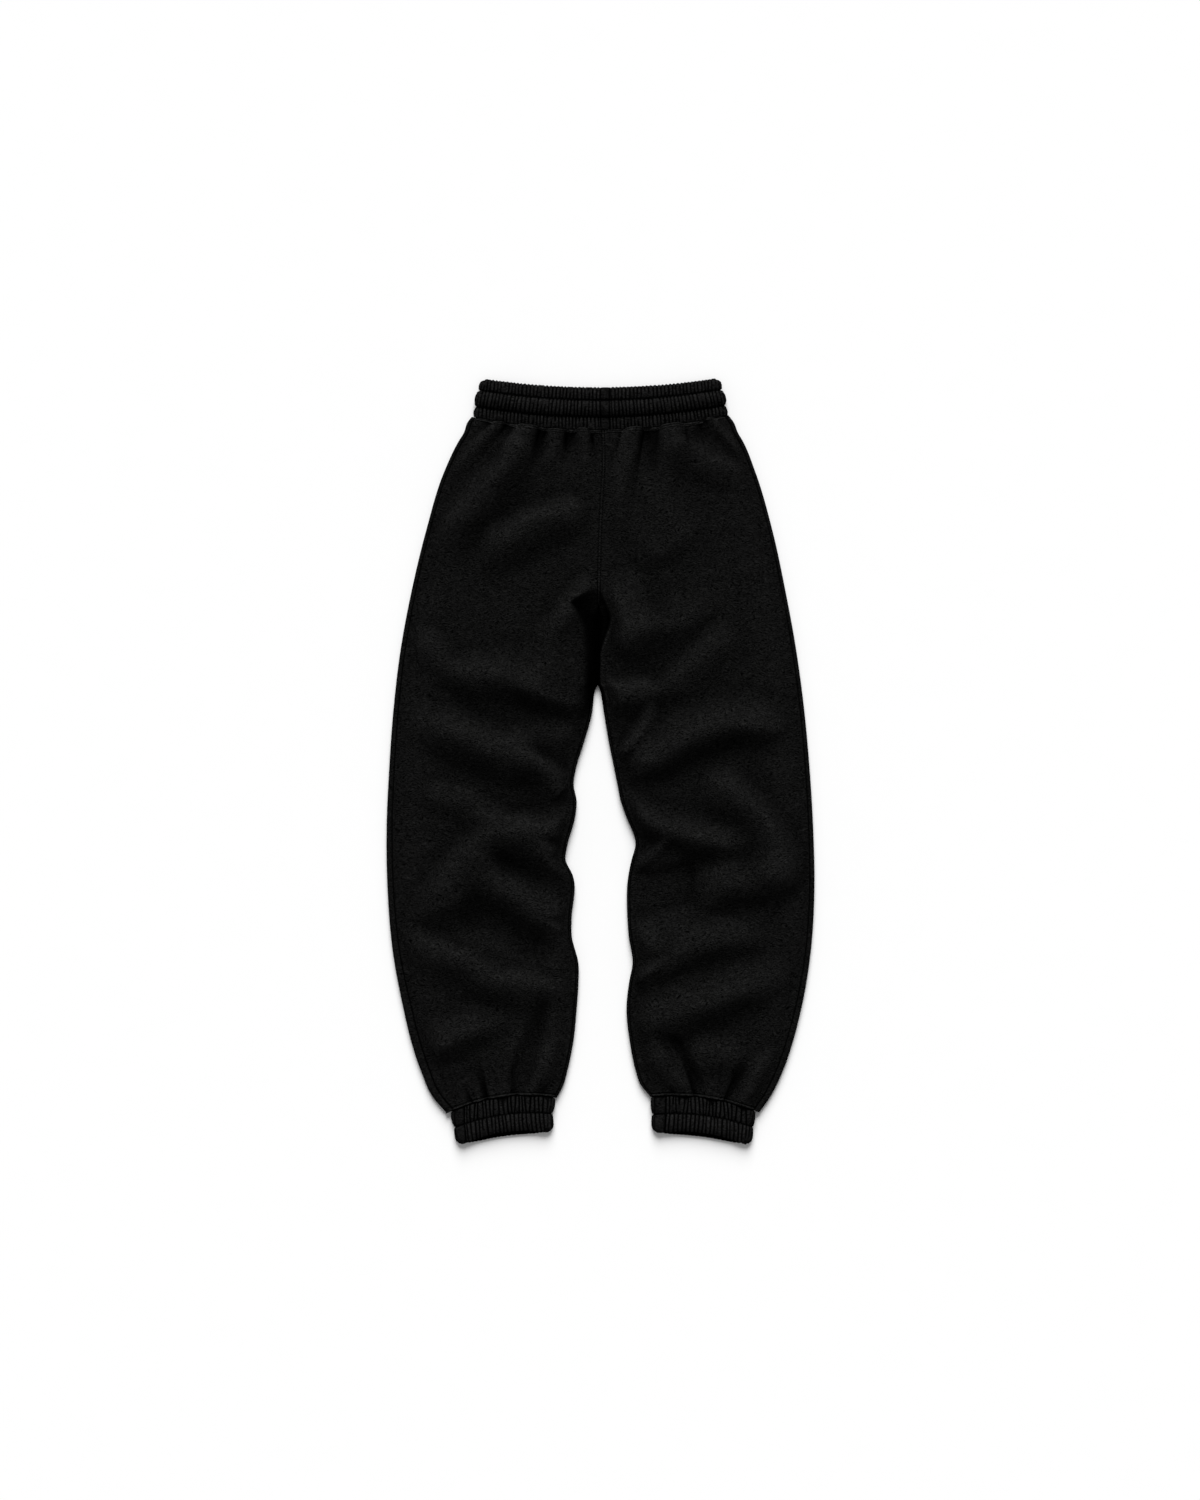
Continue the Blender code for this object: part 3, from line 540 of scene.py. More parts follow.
def fold_height(fold, x, y):
    """Height that one fold adds at each point."""
    way = fold_way(fold)
    lengths = np.linalg.norm(np.diff(way, axis=0), axis=1)
    nearest = np.full(x.shape, np.inf)
    offset = np.zeros(x.shape)
    travelled = np.zeros(x.shape)
    for step, length in enumerate(lengths):
        heading = (way[step + 1] - way[step]) / length
        local_x, local_y = x - way[step][0], y - way[step][1]
        run = np.clip(local_x * heading[0] + local_y * heading[1], 0.0, length)
        distance = np.hypot(local_x - run * heading[0], local_y - run * heading[1])
        hand = np.sign(heading[0] * local_y - heading[1] * local_x)
        closer = distance < nearest
        nearest = np.where(closer, distance, nearest)
        offset = np.where(closer, hand * distance, offset)
        travelled = np.where(closer, lengths[:step].sum() + run, travelled)
    share = travelled / lengths.sum()
    strength = np.ones(x.shape)
    if fold.fade_in:
        strength = strength * smooth(share / fold.fade_in)
    if fold.fade_out:
        strength = strength * smooth((1.0 - share) / fold.fade_out)
    width = np.where(offset > 0.0, fold.left, fold.right)
    width = width * (NARROW_END + (1.0 - NARROW_END) * strength)
    section = 0.5 + 0.5 * np.cos(math.pi * np.clip(nearest / width, 0.0, 1.0))
    return fold.rise * strength * section


print(len(FOLDS), "folds on the two fronts")

# %% [markdown]
# ## Gathers and pleats at the seams
# The fronts are wider than the waistband, so the extra cloth stands up in puffs along the waist
# seam, with dark valleys between them.  A puff has steep sides at the seam, leans over it a
# little and spreads out downwards.  At a cuff the extra cloth is nipped into a few short, sharp
# pleats.  Both are tables along the seam: x is the middle there, left and right are the half
# widths, drift is how far the middle moves along X for each millimetre away from the seam, and
# over is how far a puff leans out over the waist seam.  A pleat with a negative rise is a nip.

# %% Gather and pleat tables
Gather = namedtuple("Gather", "x left right rise length drift over")
GATHERS = [
    Gather(-156, 14, 12, 2.4, 34, -0.5, 1.4),
    Gather(-129, 9, 10, 4.0, 60, -0.8, 2.6),
    Gather(-114, 4, 4, 2.4, 11, 0.0, 0.0),
    Gather(-94, 16, 17, 8.0, 90, -0.4, 3.8),
    Gather(-74, 5, 5, 2.6, 13, 0.0, 0.0),
    Gather(-56, 13, 12, 8.0, 62, -0.12, 1.8),
    Gather(-38, 4, 4, 2.4, 11, 0.0, 0.0),
    Gather(-23, 10, 9.5, 7.8, 60, 0.2, 4.6),
    Gather(-10, 4, 3, 2.0, 9, 0.0, 0.0),
    Gather(-4, 5, 5, 2.6, 30, 0.1, 1.0),
    Gather(18, 11, 10, 3.8, 50, 0.05, 2.4),
    Gather(44, 15, 13, 10.0, 140, -0.2, 4.6),
    Gather(71, 6, 4, 4.4, 20, 0.1, 0.7),
    Gather(92, 17, 17, 8.6, 80, 0.12, 4.6),
    Gather(117, 11, 10, 4.2, 30, 0.2, 1.0),
    Gather(142, 9, 7, 3.6, 46, 0.85, 4.0),
    Gather(157, 8, 8, 2.4, 24, 0.4, 2.0),
]

Pleat = namedtuple("Pleat", "leg x left right rise length drift")
PLEATS = [
    Pleat(RIGHT, -182, 6, 6, 2.0, 26, 0.2),
    Pleat(RIGHT, -166, 6, 1.8, -4.0, 28, -0.45),
    Pleat(RIGHT, -156, 5, 5, 2.4, 34, -0.2),
    Pleat(RIGHT, -147, 10, 2.4, -6.5, 56, -0.2),
    Pleat(RIGHT, -131, 13, 13, 2.6, 44, 0.0),
    Pleat(RIGHT, -115, 1.6, 12, -6.0, 56, 0.0),
    Pleat(RIGHT, -92, 8, 10, 3.0, 46, 0.3),
    Pleat(RIGHT, -76, 4, 3, -2.2, 18, 0.4),
    Pleat(LEFT, 92, 4, 4, -1.6, 12, -0.1),
    Pleat(LEFT, 108, 11, 11, 3.0, 44, -0.3),
    Pleat(LEFT, 122, 2.0, 8.0, -7.0, 58, -0.3),
    Pleat(LEFT, 144, 12, 12, 2.6, 34, 0.1),
    Pleat(LEFT, 160, 1.6, 8.0, -6.0, 54, 0.4),
    Pleat(LEFT, 184, 12, 13, 3.4, 40, 0.4),
]
PUFF_ROUND = 3.6                # length over which a puff rises from the seam
PUFF_LEAN = 2.4                 # how far down a puff leans out the most
PUFF_LEAN_END = 20.0
PUFF_SPREAD = 0.7               # how much wider a puff or pleat gets by its far end
PUFF_STEEPNESS, NIP_STEEPNESS = 3.2, 1.3        # powers that shape their sections at the seam
SECTION_SOFTENS = 1.5           # how soon the section turns soft along the length


def seam_relief(shapes, x, down):
    """Height of the gathers or pleats at x and at a distance down from their seam."""
    height = np.zeros(x.shape)
    for shape in shapes:
        share = np.clip(down / shape.length, 0.0, 1.0)
        spread = 1.0 + PUFF_SPREAD * share
        across = x - shape.x - shape.drift * down
        width = np.where(across < 0.0, shape.left, shape.right) * spread
        ratio = np.clip(np.abs(across) / width, 0.0, 1.0)
        steep = 1.0 - ratio ** PUFF_STEEPNESS if shape.rise > 0.0 else (1.0 - ratio) ** NIP_STEEPNESS
        soft = 0.5 + 0.5 * np.cos(math.pi * ratio)
        softened = smooth(share * SECTION_SOFTENS)
        section = steep * (1.0 - softened) + soft * softened
        height += shape.rise * section * smooth(1.0 - share)
    return height


print(len(GATHERS), "gathers at the waist and", len(PLEATS), "pleats at the cuffs")

# %% [markdown]
# ## Uneven cloth
# No fold is as even as a formula.  A smooth random relief bends the folds a little and adds
# shallow waves between them.  It is read from a seeded table, so it is the same every time.

# %% Uneven cloth
NOISE_CELLS = 64
GRID_TURN = (0.83, 0.56)        # cosine and sine of the turn that keeps the cells off the X axis
GRID_SHIFT = 500.0              # keeps all cell numbers above zero


def waves(x, y, size, seed):
    """Smooth random relief from -1 to 1 with waves about size wide."""
    grid = np.random.RandomState(seed).uniform(-1.0, 1.0, (NOISE_CELLS, NOISE_CELLS))
    turned_x = (GRID_TURN[0] * x - GRID_TURN[1] * y) / size + GRID_SHIFT
    turned_y = (GRID_TURN[1] * x + GRID_TURN[0] * y) / size + GRID_SHIFT
    column, row = np.floor(turned_x).astype(int), np.floor(turned_y).astype(int)
    right, up = smooth(turned_x - column), smooth(turned_y - row)

    def corner(columns, rows):
        return grid[rows % NOISE_CELLS, columns % NOISE_CELLS]

    low = corner(column, row) * (1.0 - right) + corner(column + 1, row) * right
    high = corner(column, row + 1) * (1.0 - right) + corner(column + 1, row + 1) * right
    return low * (1.0 - up) + high * up


print("waves at the origin:", round(float(waves(np.zeros(1), np.zeros(1), 30.0, 1)[0]), 3))

# %% [markdown]
# ## A closed wall from two grids
# Cloth has a thickness, and a part needs closed shells.  Each piece is a grid of points on the
# outside and a second one on the inside.  The two are joined round their border.  A ring has no
# border at its sides, because its last column runs back to its first.

# %% Wall helper
def wall(name, outer, inner, material, ring=False, shade=None):
    """One closed piece from two grids of points in millimetres."""
    rows, columns = outer.shape[:2]
    numbers = np.arange(rows * columns).reshape(rows, columns)
    if ring:
        numbers = np.hstack([numbers, numbers[:, :1]])
    corners = (numbers[:-1, :-1], numbers[:-1, 1:], numbers[1:, 1:], numbers[1:, :-1])
    outside = np.stack([corner.ravel() for corner in corners], axis=1)
    inside = outside[:, ::-1] + rows * columns
    borders = [numbers[0], numbers[-1][::-1]]
    if not ring:
        borders += [numbers[:, 0][::-1], numbers[:, -1]]
    strips = []
    for border in borders:
        strips.append(np.stack([border[1:], border[:-1], border[:-1], border[1:]], axis=1))
        strips[-1][:, 2:] += rows * columns
    faces = np.vstack([outside, inside] + strips)
    points = np.vstack([outer.reshape(-1, 3), inner.reshape(-1, 3)]) * MM
    first, second, third, fourth = (points[faces[:, index]] for index in range(4))
    volume = (np.cross(second - first, third - first) * first).sum()
    volume += (np.cross(third - first, fourth - first) * first).sum()
    if volume < 0.0:
        faces = faces[:, ::-1]
    mesh = bpy.data.meshes.new(name)
    mesh.from_pydata(points.tolist(), [], faces.tolist())
    mesh.materials.append(material)
    mesh.shade_smooth()
    shades = np.zeros((2, rows, columns), dtype=np.float32)
    if shade is not None:
        shades[:] = shade
    layer = mesh.attributes.new("shade", "FLOAT", "POINT")
    layer.data.foreach_set("value", shades.ravel())
    piece = bpy.data.objects.new(name, mesh)
    bpy.context.scene.collection.objects.link(piece)
    print(name, len(faces) * 2, "triangles")
    return piece


# %% [markdown]
# ## Rows and columns of a leg
# A leg's rows follow the waist seam at the top and the cuff seam at the bottom.  They lie close
# together at the seams, where the gathers are small, and wider apart on the leg.  The columns
# keep fixed distances near a seam, where the stitches lie, and share out the rest.

# %% Rows and columns of a leg
SEAM_GAP = 0.15                 # space between two pieces that are sewn together
CENTRE_GAP = -0.15              # where both legs meet they press together, so no light shows through
ROW_RUNS = [                    # heights at the inner edge: (from, to, number of rows)
    (436.0, 424.0, 26),
    (424.0, 394.0, 22),
    (394.0, -404.0, 316),
    (-404.0, -428.0, 16),
    (-428.0, -436.0, 16),
]
BACK_ROW_STEP = 2               # a back needs every second row only
RISE_STITCH = 1.85              # distance of a row of stitches from the rise seam
AT_SIDE = (0.0, 0.3, 0.7, 1.2, 1.8, 2.6, 3.6, 5.0, 6.8)         # columns beside the side seam
AT_INNER = (                    # and beside the rise seam and the inseam
    21.0, 19.0, 17.0, 15.2, 13.4, 11.7, 10.1, 8.6, 7.2, 6.0, 4.9, 4.0, 3.3, 2.8, 2.3,
    RISE_STITCH, 1.45, 1.05, 0.65, 0.3, 0.0,
)
FRONT_COLUMNS = 88              # columns that share out the rest
TOP_FADE, FOOT_FADE = 20.0, 40.0        # a seam's own curve fades out over 1/20 and 1/40 of a leg
SPLIT_START, SPLIT_LENGTH = 4.0, 16.0   # where the rise seam turns into the inseams
LEG_TOP, LEG_FOOT = ROW_RUNS[0][0], ROW_RUNS[-1][1]


def leg_heights():
    """Heights of the rows at the inner edge, from the waistband to the cuff."""
    runs = [np.linspace(first, last, count, endpoint=False) for first, last, count in ROW_RUNS]
    return np.concatenate(runs + [[LEG_FOOT]])


class LegRows:
    """All the rows across a leg.  Each value is a column vector with one row's size in a row."""

    def __init__(self, leg, heights):
        self.leg = leg
        self.inwards = INWARDS[leg]
        self.share = ((LEG_TOP - heights) / (LEG_TOP - LEG_FOOT))[:, None]
        waist, cuff = WAISTBAND[0], CUFFS[leg][0]
        inner_y = heights[:, None].copy()
        self.inner_x = self.inner_edge(inner_y)
        top_move = line_y(waist, self.inner_x[0]) - SEAM_GAP - inner_y[0]
        foot_move = line_y(cuff, self.inner_x[-1]) + SEAM_GAP - inner_y[-1]
        near_top = smooth(1.0 - self.share * TOP_FADE)
        near_foot = smooth(1.0 - (1.0 - self.share) * FOOT_FADE)
        self.inner_y = inner_y + top_move * near_top + foot_move * near_foot
        top = line_y(waist, -self.inwards * getattr(SIDE_EDGE[0], leg)) - SEAM_GAP
        foot_x = -self.inwards * getattr(SIDE_EDGE[-1], leg)
        foot = line_y(cuff, foot_x) + SEAM_GAP
        self.outer_y = top + (foot - top) * self.share
        self.outer_x = -self.inwards * read_line(SIDE_EDGE, leg, self.outer_y)
        self.curvature = line_curvature(waist) * (1.0 - self.share) ** 3
        self.curvature = self.curvature + line_curvature(cuff) * self.share ** 3
        self.lap = read_line(SIDE_LAP, leg, self.outer_y)
        self.split = smooth((CROTCH_Y + SPLIT_START - self.inner_y) / SPLIT_LENGTH)

    def inner_edge(self, y):
        """X of the rise seam above the crotch, and of the inner leg below it."""
        centre = read_line(CENTRE_SEAM, "x", y) - self.inwards * CENTRE_GAP
        inner = -self.inwards * read_line(INSEAM_EDGE, self.leg, y)
        return np.where(y > INSEAM_EDGE[0].y, centre, inner)

    def y_at(self, x):
        """Height of the rows at x; the seams' own curves fade out along the leg."""
        share = (x - self.outer_x) / (self.inner_x - self.outer_x)
        straight = self.outer_y + (self.inner_y - self.outer_y) * share
        return straight + self.curvature * (x - self.outer_x) * (x - self.inner_x)

    def below_waist(self, x, y):
        """Distance down from the waist seam."""
        return line_y(WAISTBAND[0], x) - SEAM_GAP - y

    def above_cuff(self, x, y):
        """Distance up from the cuff seam."""
        return y - line_y(CUFFS[self.leg][0], x) - SEAM_GAP


rows_of = {leg: LegRows(leg, leg_heights()) for leg in (RIGHT, LEFT)}
print(len(leg_heights()), "rows on a leg")

# %% [markdown]
# ## The top of a front
# The cloth's height is a sum: the two layers at the edges, a crown of air under the middle of
# the leg, the folds, the gathers, and the uneven waves.  The folds die away towards the side
# seam and the rise seam, which hold the cloth down, and a share of them runs out over the inseam.

# %% Height of a front
WALL = 2.6                      # thickness of the fleece
EDGE_HEIGHT = 8.3               # top of the two layers and the air at a leg's edges
LOWEST_FRONT = 5.8
CROWN = 6.0                     # air under the middle of a leg
CROWN_SIDE = 42.0               # lengths over which it builds up from the side seam,
CROWN_INSEAM = 34.0             # from the inseam
CROWN_LENGTH = 60.0             # and from the waist and cuff seams,
CROWN_AT_SEAMS = 0.3            # which leave this share of it
CROTCH_BLEND = (20.0, 45.0)     # above the crotch the inseam starts to count, over this length
FOLD_SIDE = 16.0                # lengths over which the folds build up from the side seam
FOLD_INSEAM = 24.0              # and from the inseam, which lets a share of them run out over it
FOLD_OVER_INSEAM = 0.35
FOLD_WAIST, FOLD_CUFF = 30.0, 26.0      # and from the waist and cuff seams, where this is left
FOLD_AT_SEAMS = 0.25
FOLD_LIFT = 1.15                # the nap's loft makes a fold stand higher than the solid's
WAVE_BEND, WAVE_SIZE = 4.0, 42.0        # how far the waves push a fold sideways, and their size
BROAD_WAVES, FINE_WAVES = (0.7, 30.0), (0.2, 11.0)      # height and size of the shallow waves
PUFF_FULL = 5.0                 # a gather of this height counts as a full puff
GATHER_SIDE, PLEAT_SIDE = 5.0, 14.0     # they end this far from the side seam
VALLEY_LENGTH = 17.0            # length of the valleys between the gathers
VALLEY_DEPTH = 2.0
VALLEY_START = (3.0, 3.5)       # a valley starts this far down, over this length,
VALLEY_SIDE = (4.0, 10.0)       # and this far from the side seam
VALLEY_INNER = (3.0, 5.0)       # and from the rise seam
HOLLOW_LEFT_WALL = 12.0         # width of the hollow's gentle wall
HOLLOW_RIGHT_WALL = 3.4         # and of its steep one
HOLLOW_TOP, HOLLOW_SLOPE = 230.0, 30.0          # it starts here and deepens over this length
HOLLOW_BEYOND, HOLLOW_FOOT = 4.0, 26.0          # it ends beyond its last row, over this length


def hollow_share(x, y):
    """How far the front has sunk into the crotch hollow, from 0 to 1."""
    left, right = read_line(HOLLOW, "left", y), read_line(HOLLOW, "right", y)
    outside = np.maximum(np.maximum((left - x) / HOLLOW_LEFT_WALL, (x - right) / HOLLOW_RIGHT_WALL), 0.0)
    top = smooth((HOLLOW_TOP - y) / HOLLOW_SLOPE)
    foot = smooth((y - HOLLOW[-1].y + HOLLOW_BEYOND) / HOLLOW_FOOT)
    return (1.0 - smooth(outside)) * top * foot


def beyond(distance, limits):
    """Rise from 0 to 1 past the first of two limits, over the length of the second."""
    return smooth((distance - limits[0]) / limits[1])


def puff_share(x, down):
    """How far a point is up on a gather's puff, from 0 to 1."""
    return np.clip(seam_relief(GATHERS, x, down) / PUFF_FULL, 0.0, 1.0)


def valley_share(rows, x, down):
    """How far a point is down in a valley between the gathers, from 0 to 1."""
    valley = (1.0 - puff_share(x, down)) * near(down, VALLEY_LENGTH)
    valley = valley * beyond(down, VALLEY_START)
    valley = valley * beyond(np.abs(x - rows.outer_x) - rows.lap, VALLEY_SIDE)
    return valley * beyond(np.abs(x - rows.inner_x), VALLEY_INNER)


def pleats_of(leg, x, up):
    """Height of a leg's pleats at a distance up from the cuff."""
    return seam_relief([pleat for pleat in PLEATS if pleat.leg == leg], x, up)


def front_height(rows, x, y):
    """Top of a front's cloth."""
    from_side = np.abs(x - rows.outer_x)
    from_inner = np.abs(x - rows.inner_x)
    below_crotch = smooth((CROTCH_Y + CROTCH_BLEND[0] - y) / CROTCH_BLEND[1])
    down, up = rows.below_waist(x, y), rows.above_cuff(x, y)
    crown = CROWN * smooth(from_side / CROWN_SIDE)
    crown = crown * (1.0 - below_crotch * (1.0 - smooth(from_inner / CROWN_INSEAM)))
    crown = crown * (CROWN_AT_SEAMS + (1.0 - CROWN_AT_SEAMS) * smooth(np.minimum(down, up) / CROWN_LENGTH))
    bent_x = x + WAVE_BEND * waves(x, y, WAVE_SIZE, 3)
    bent_y = y + WAVE_BEND * waves(x, y, WAVE_SIZE, 4)
    folds = FOLD_LIFT * sum(fold_height(fold, bent_x, bent_y) for fold in FOLDS if fold.leg == rows.leg)
    for seed, (rise, size) in enumerate((BROAD_WAVES, FINE_WAVES), 5):
        folds = folds + rise * waves(x, y, size, seed)
    held = smooth((from_side - rows.lap) / FOLD_SIDE)
    kept = FOLD_OVER_INSEAM * below_crotch
    held = held * (kept + (1.0 - kept) * smooth(from_inner / FOLD_INSEAM))
    gathers = seam_relief(GATHERS, x, down) * smooth((from_side - rows.lap) / GATHER_SIDE)
    folds = folds * starting(down, FOLD_WAIST, FOLD_AT_SEAMS) * starting(up, FOLD_CUFF, FOLD_AT_SEAMS)
    valley = VALLEY_DEPTH * valley_share(rows, x, down)
    pleats = pleats_of(rows.leg, x, up) * smooth(from_side / PLEAT_SIDE)
    height = EDGE_HEIGHT + crown + folds * held + gathers - valley + pleats
    return np.maximum(height + (LOWEST_FRONT - height) * hollow_share(x, y), LOWEST_FRONT)


print("a leg's edge lies", EDGE_HEIGHT, "mm high and its middle", EDGE_HEIGHT + CROWN, "mm")

# %% [markdown]
# ## The fronts
# A front runs from the side seam to the rise seam above the crotch, and to the inseam below it.
# The inseam lies on the rounded inner edge of the leg, a little inside the outline.  At each
# seam the cloth turns down to the stitches, with small puckers beside them.  The rise seam is
# pressed open and topstitched on both sides, which leaves a narrow ridge between two sunk rows
# of stitches.  Pressing also leaves fine lines beside the waist and cuff seams, which a table
# gives by their distance.

# %% Seams of a front
INSEAM_INSET = 3.2              # how far the inseam lies inside the outline
LOWEST_LIP, HIGHEST_LIP = 7.4, 13.0     # top of the leg's inner edge, where a fold runs out over it
LIP_LEVEL = 4.3                 # height at which the inner edge is widest
LIP_INSIDE = 4.0                # the edge's height is read this far inside it
LIP_EVENED = 6                  # and evened over this many rows on either hand
LIP_BLEND = 15.0                # length over which the cloth settles onto the edge
SEAM_TURN, SEAM_TURN_WIDTH = 1.3, 1.1   # how deep the cloth turns down at a seam
PUCKER, PUCKER_SIZE = 0.35, 7.0         # height and size of the puckers
PUCKER_STRETCH, PUCKER_REACH = 0.3, 5.0
RIM_PUSHED = 2.6                # how far a puff pushes the pressed lines down
RIDGE_RISE, GROOVE_DEPTH, HEM_RELIEF = 0.6, 0.8, 0.9
ON_PUFF_GROOVE = 0.5            # share of the grooves that a puff smooths out
WAIST_DROP = 0.9                # the cloth starts this far below the waistband's foot
CUFF_ROUND, CUFF_DROP = 1.0, 1.2
Mark = namedtuple("Mark", "distance width strength")    # a line pressed in along a seam
WAIST_RIDGES = (Mark(0.9, 0.55, 1.0), Mark(3.1, 0.6, 1.0))
WAIST_GROOVES = (Mark(2.0, 0.5, 1.0), Mark(4.4, 0.6, 0.7))
HEM_RIDGE = Mark(1.9, 1.05, 1.0)
HEM_GROOVES = (Mark(4.0, 0.6, 1.0), Mark(0.0, 0.5, 1.0))
RISE_GROOVES = (Mark(RISE_STITCH, 0.55, 0.95), Mark(0.0, 0.4, 0.35))


def pressed(distance, *marks):
    """Strength of pressed lines at a distance from their seam."""
    return sum(mark.strength * near(distance - mark.distance, mark.width) for mark in marks)


def quarter_round(distance, length):
    """Rise from 0 to 1 over length as a quarter of a circle does, steeply at first."""
    return np.sqrt(1.0 - (1.0 - np.clip(distance / length, 0.0, 1.0)) ** 2)


def lip_shape(rows):
    """Height of the rounded inner edge of a leg along all its rows."""
    x = rows.inner_x - rows.inwards * LIP_INSIDE
    height = np.clip(front_height(rows, x, rows.y_at(x)), LOWEST_LIP, HIGHEST_LIP)
    count = 2 * LIP_EVENED + 1
    soft = np.convolve(np.pad(height[:, 0], LIP_EVENED, mode="edge"), np.ones(count) / count, mode="valid")
    return soft[:, None]


def round_inner_edge(rows, x, z):
    """The heights z with the leg's inner edge rounded down towards the inseam."""
    lip = lip_shape(rows)
    radius = lip - LIP_LEVEL
    lip_start = rows.inner_x - rows.inwards * radius
    past = np.maximum((x - lip_start) * rows.inwards, 0.0)
    before = np.maximum((lip_start - x) * rows.inwards, 0.0)
    at_start = front_height(rows, lip_start, rows.y_at(lip_start))
    joined = z + (lip - at_start) * smooth(1.0 - before / LIP_BLEND)
    rounded = lip - radius + np.sqrt(np.maximum(radius ** 2 - np.minimum(past, radius) ** 2, 0.0))
    edge = np.where(past > 0.0, rounded, joined)
    return z + (edge - z) * rows.split


class SeamLines:
    """How far each point of a front is from its seams, and the lines pressed along them."""

    def __init__(self, rows, x, y, start, end):
        self.side, self.inner = np.abs(x - start), np.abs(x - end)
        self.down, self.up = rows.below_waist(x, y), rows.above_cuff(x, y)
        self.puffs = puff_share(x, self.down)
        rim = self.down - RIM_PUSHED * self.puffs
        self.ridges, self.grooves = pressed(rim, *WAIST_RIDGES), pressed(rim, *WAIST_GROOVES)
        self.hem_ridge, self.hem_grooves = pressed(self.up, HEM_RIDGE), pressed(self.up, *HEM_GROOVES)


def press_seams(rows, seams, x, y, z):
    """The heights z with the cloth turned down at its seams and pressed along them."""
    pucker = PUCKER * waves(x * PUCKER_STRETCH, y, PUCKER_SIZE, 8)
    z = z + pucker * (np.exp(-seams.side / PUCKER_REACH) + np.exp(-seams.inner / PUCKER_REACH))
    z = z - SEAM_TURN * near(seams.side, SEAM_TURN_WIDTH)
    z = z - SEAM_TURN * rows.split * near(seams.inner, SEAM_TURN_WIDTH)
    for mark in RISE_GROOVES:
        z = z - (1.0 - rows.split) * pressed(seams.inner, mark)
    z = z + RIDGE_RISE * seams.ridges
    z = z - GROOVE_DEPTH * seams.grooves * (1.0 - ON_PUFF_GROOVE * seams.puffs)
    z = z + HEM_RELIEF * seams.hem_ridge - HEM_RELIEF * seams.hem_grooves
    at_seam = WAISTBAND[0].height - WAIST_DROP
    z = np.where(z > at_seam, at_seam + (z - at_seam) * quarter_round(seams.down, PUFF_ROUND), z)
    return z - CUFF_DROP * (1.0 - quarter_round(seams.up, CUFF_ROUND))


print(len(WAIST_RIDGES + WAIST_GROOVES), "pressed lines at the waist,", 1 + len(HEM_GROOVES), "at a cuff")

# %% [markdown]
# ## Painted shade on a front
# The lamps alone leave black fleece too even, so shade is painted into its colour.  Each wall
# carries a number at every point, named shade, that its finish reads.  It is worked out from
# the same distances as the shape: troughs, seams and the far sides of puffs get painted shade,
# and ridges get painted highlights.  The hollow at the crotch has its own painted shadow, with
# a thin painted light rim where the left leg's front turns down into it and a soft painted
# dark turn on the right thigh.

# %% Shade of a front
CAVITY_REACH = 7                # steps of the grid over which a trough is told from a ridge
CAVITY_DEPTH = 5.0
CAVITY_SHADE = 0.5              # painted shade in a trough, and painted highlight on a ridge
CAVITY_START = (30.0, 0.2)      # that starts over this length below the waist, from this much
# painted shade in the valleys between the gathers
VALLEY_SHADE = 0.7
PUFF_LIGHT = 0.55               # painted highlight on a puff's round top
PUFF_TOP = (4.0, 5.0)           # place and width of that painted highlight below the waist seam
PUFF_SHADE = 0.65               # painted shade on the far side of a puff, as if the light came from its near side
PUFF_FALL = 2.0                 # a puff's side that falls this much counts as a far side
PUFF_NEAR_LIMIT = -0.7          # how light the painted highlight on its near side gets, as a share of that
PUFF_SIDE = 30.0                # these painted shades fade within this distance of the side edge
# painted shade in a pleat's nip, and the depth at which it is full
PLEAT_SHADE, PLEAT_DEEP = 0.5, 6.0
SEAM_SHADE = 0.75               # painted shade down in a seam
SIDE_DARK, INSEAM_DARK = 0.9, 1.3       # widths of the seams' painted dark lines
# painted shade in the rows of stitches beside the rise seam, and its width
RISE_SHADE, RISE_DARK = 1.0, 0.75
RISE_LIGHT, RISE_RIDGE = 0.7, 0.9       # painted highlight on the pressed ridge between the rows of stitches
RIDGE_LIGHT, GROOVE_SHADE = 2.0, 0.6    # painted highlights and painted shade of the pressed lines at the waist,
ON_PUFF_LIGHT, ON_PUFF_SHADE = 0.85, 0.8        # and the shares of them that a puff smooths out
# painted highlight on the pressed ridge at a cuff, and painted shade in its grooves
HEM_LIGHT, HEM_SHADE = 0.8, 0.75
# painted shadow in the crotch's hollow, and how much lighter it is at the top
HOLLOW_SHADE = 0.95
HOLLOW_TOP_SHADE = 0.45
HOLLOW_DARKENS = (6.0, 40.0)    # below its top the hollow's painted shadow deepens, over this length
HOLLOW_BLUR = 4                 # steps of the grid over which the hollow's painted shadow softens,
HOLLOW_CRISP = (9.0, 5.0)       # except near its right edge
HOLLOW_CRISP_TOP = (12.0, 14.0)
# painted highlight of the thin rim beside the hollow's steep edge, and its width
HOLLOW_RIM_LIGHT, HOLLOW_RIM_WIDTH = 0.5, 1.4
HOLLOW_RIM_OUT = 0.8            # how far the rim stands off the hollow's steep wall
HOLLOW_RIM_FOOT, HOLLOW_RIM_TOP = 100.0, 196.0
TURN_SHADE = 0.5                # painted shade where the right thigh turns down to the hollow
TURN_REACH = 60.0
TURN_FOOT, TURN_FOOT_FADE = 45.0, 25.0
TURN_TOP, TURN_TOP_FADE = 200.0, 40.0


def spread_out(values, reach):
    """Values averaged over their neighbours within reach steps, twice each way."""
    box = np.ones(2 * reach + 1) / (2 * reach + 1)
    for _ in range(2):
        for axis in (0, 1):
            pad = [(reach, reach) if side == axis else (0, 0) for side in (0, 1)]
            padded = np.pad(values, pad, mode="edge")
            values = np.apply_along_axis(np.convolve, axis, padded, box, mode="valid")
    return values


def beside_hollow(y):
    """True where the hollow's right edge stands clear."""
    return (y > HOLLOW_RIM_FOOT) & (y < HOLLOW_RIM_TOP)


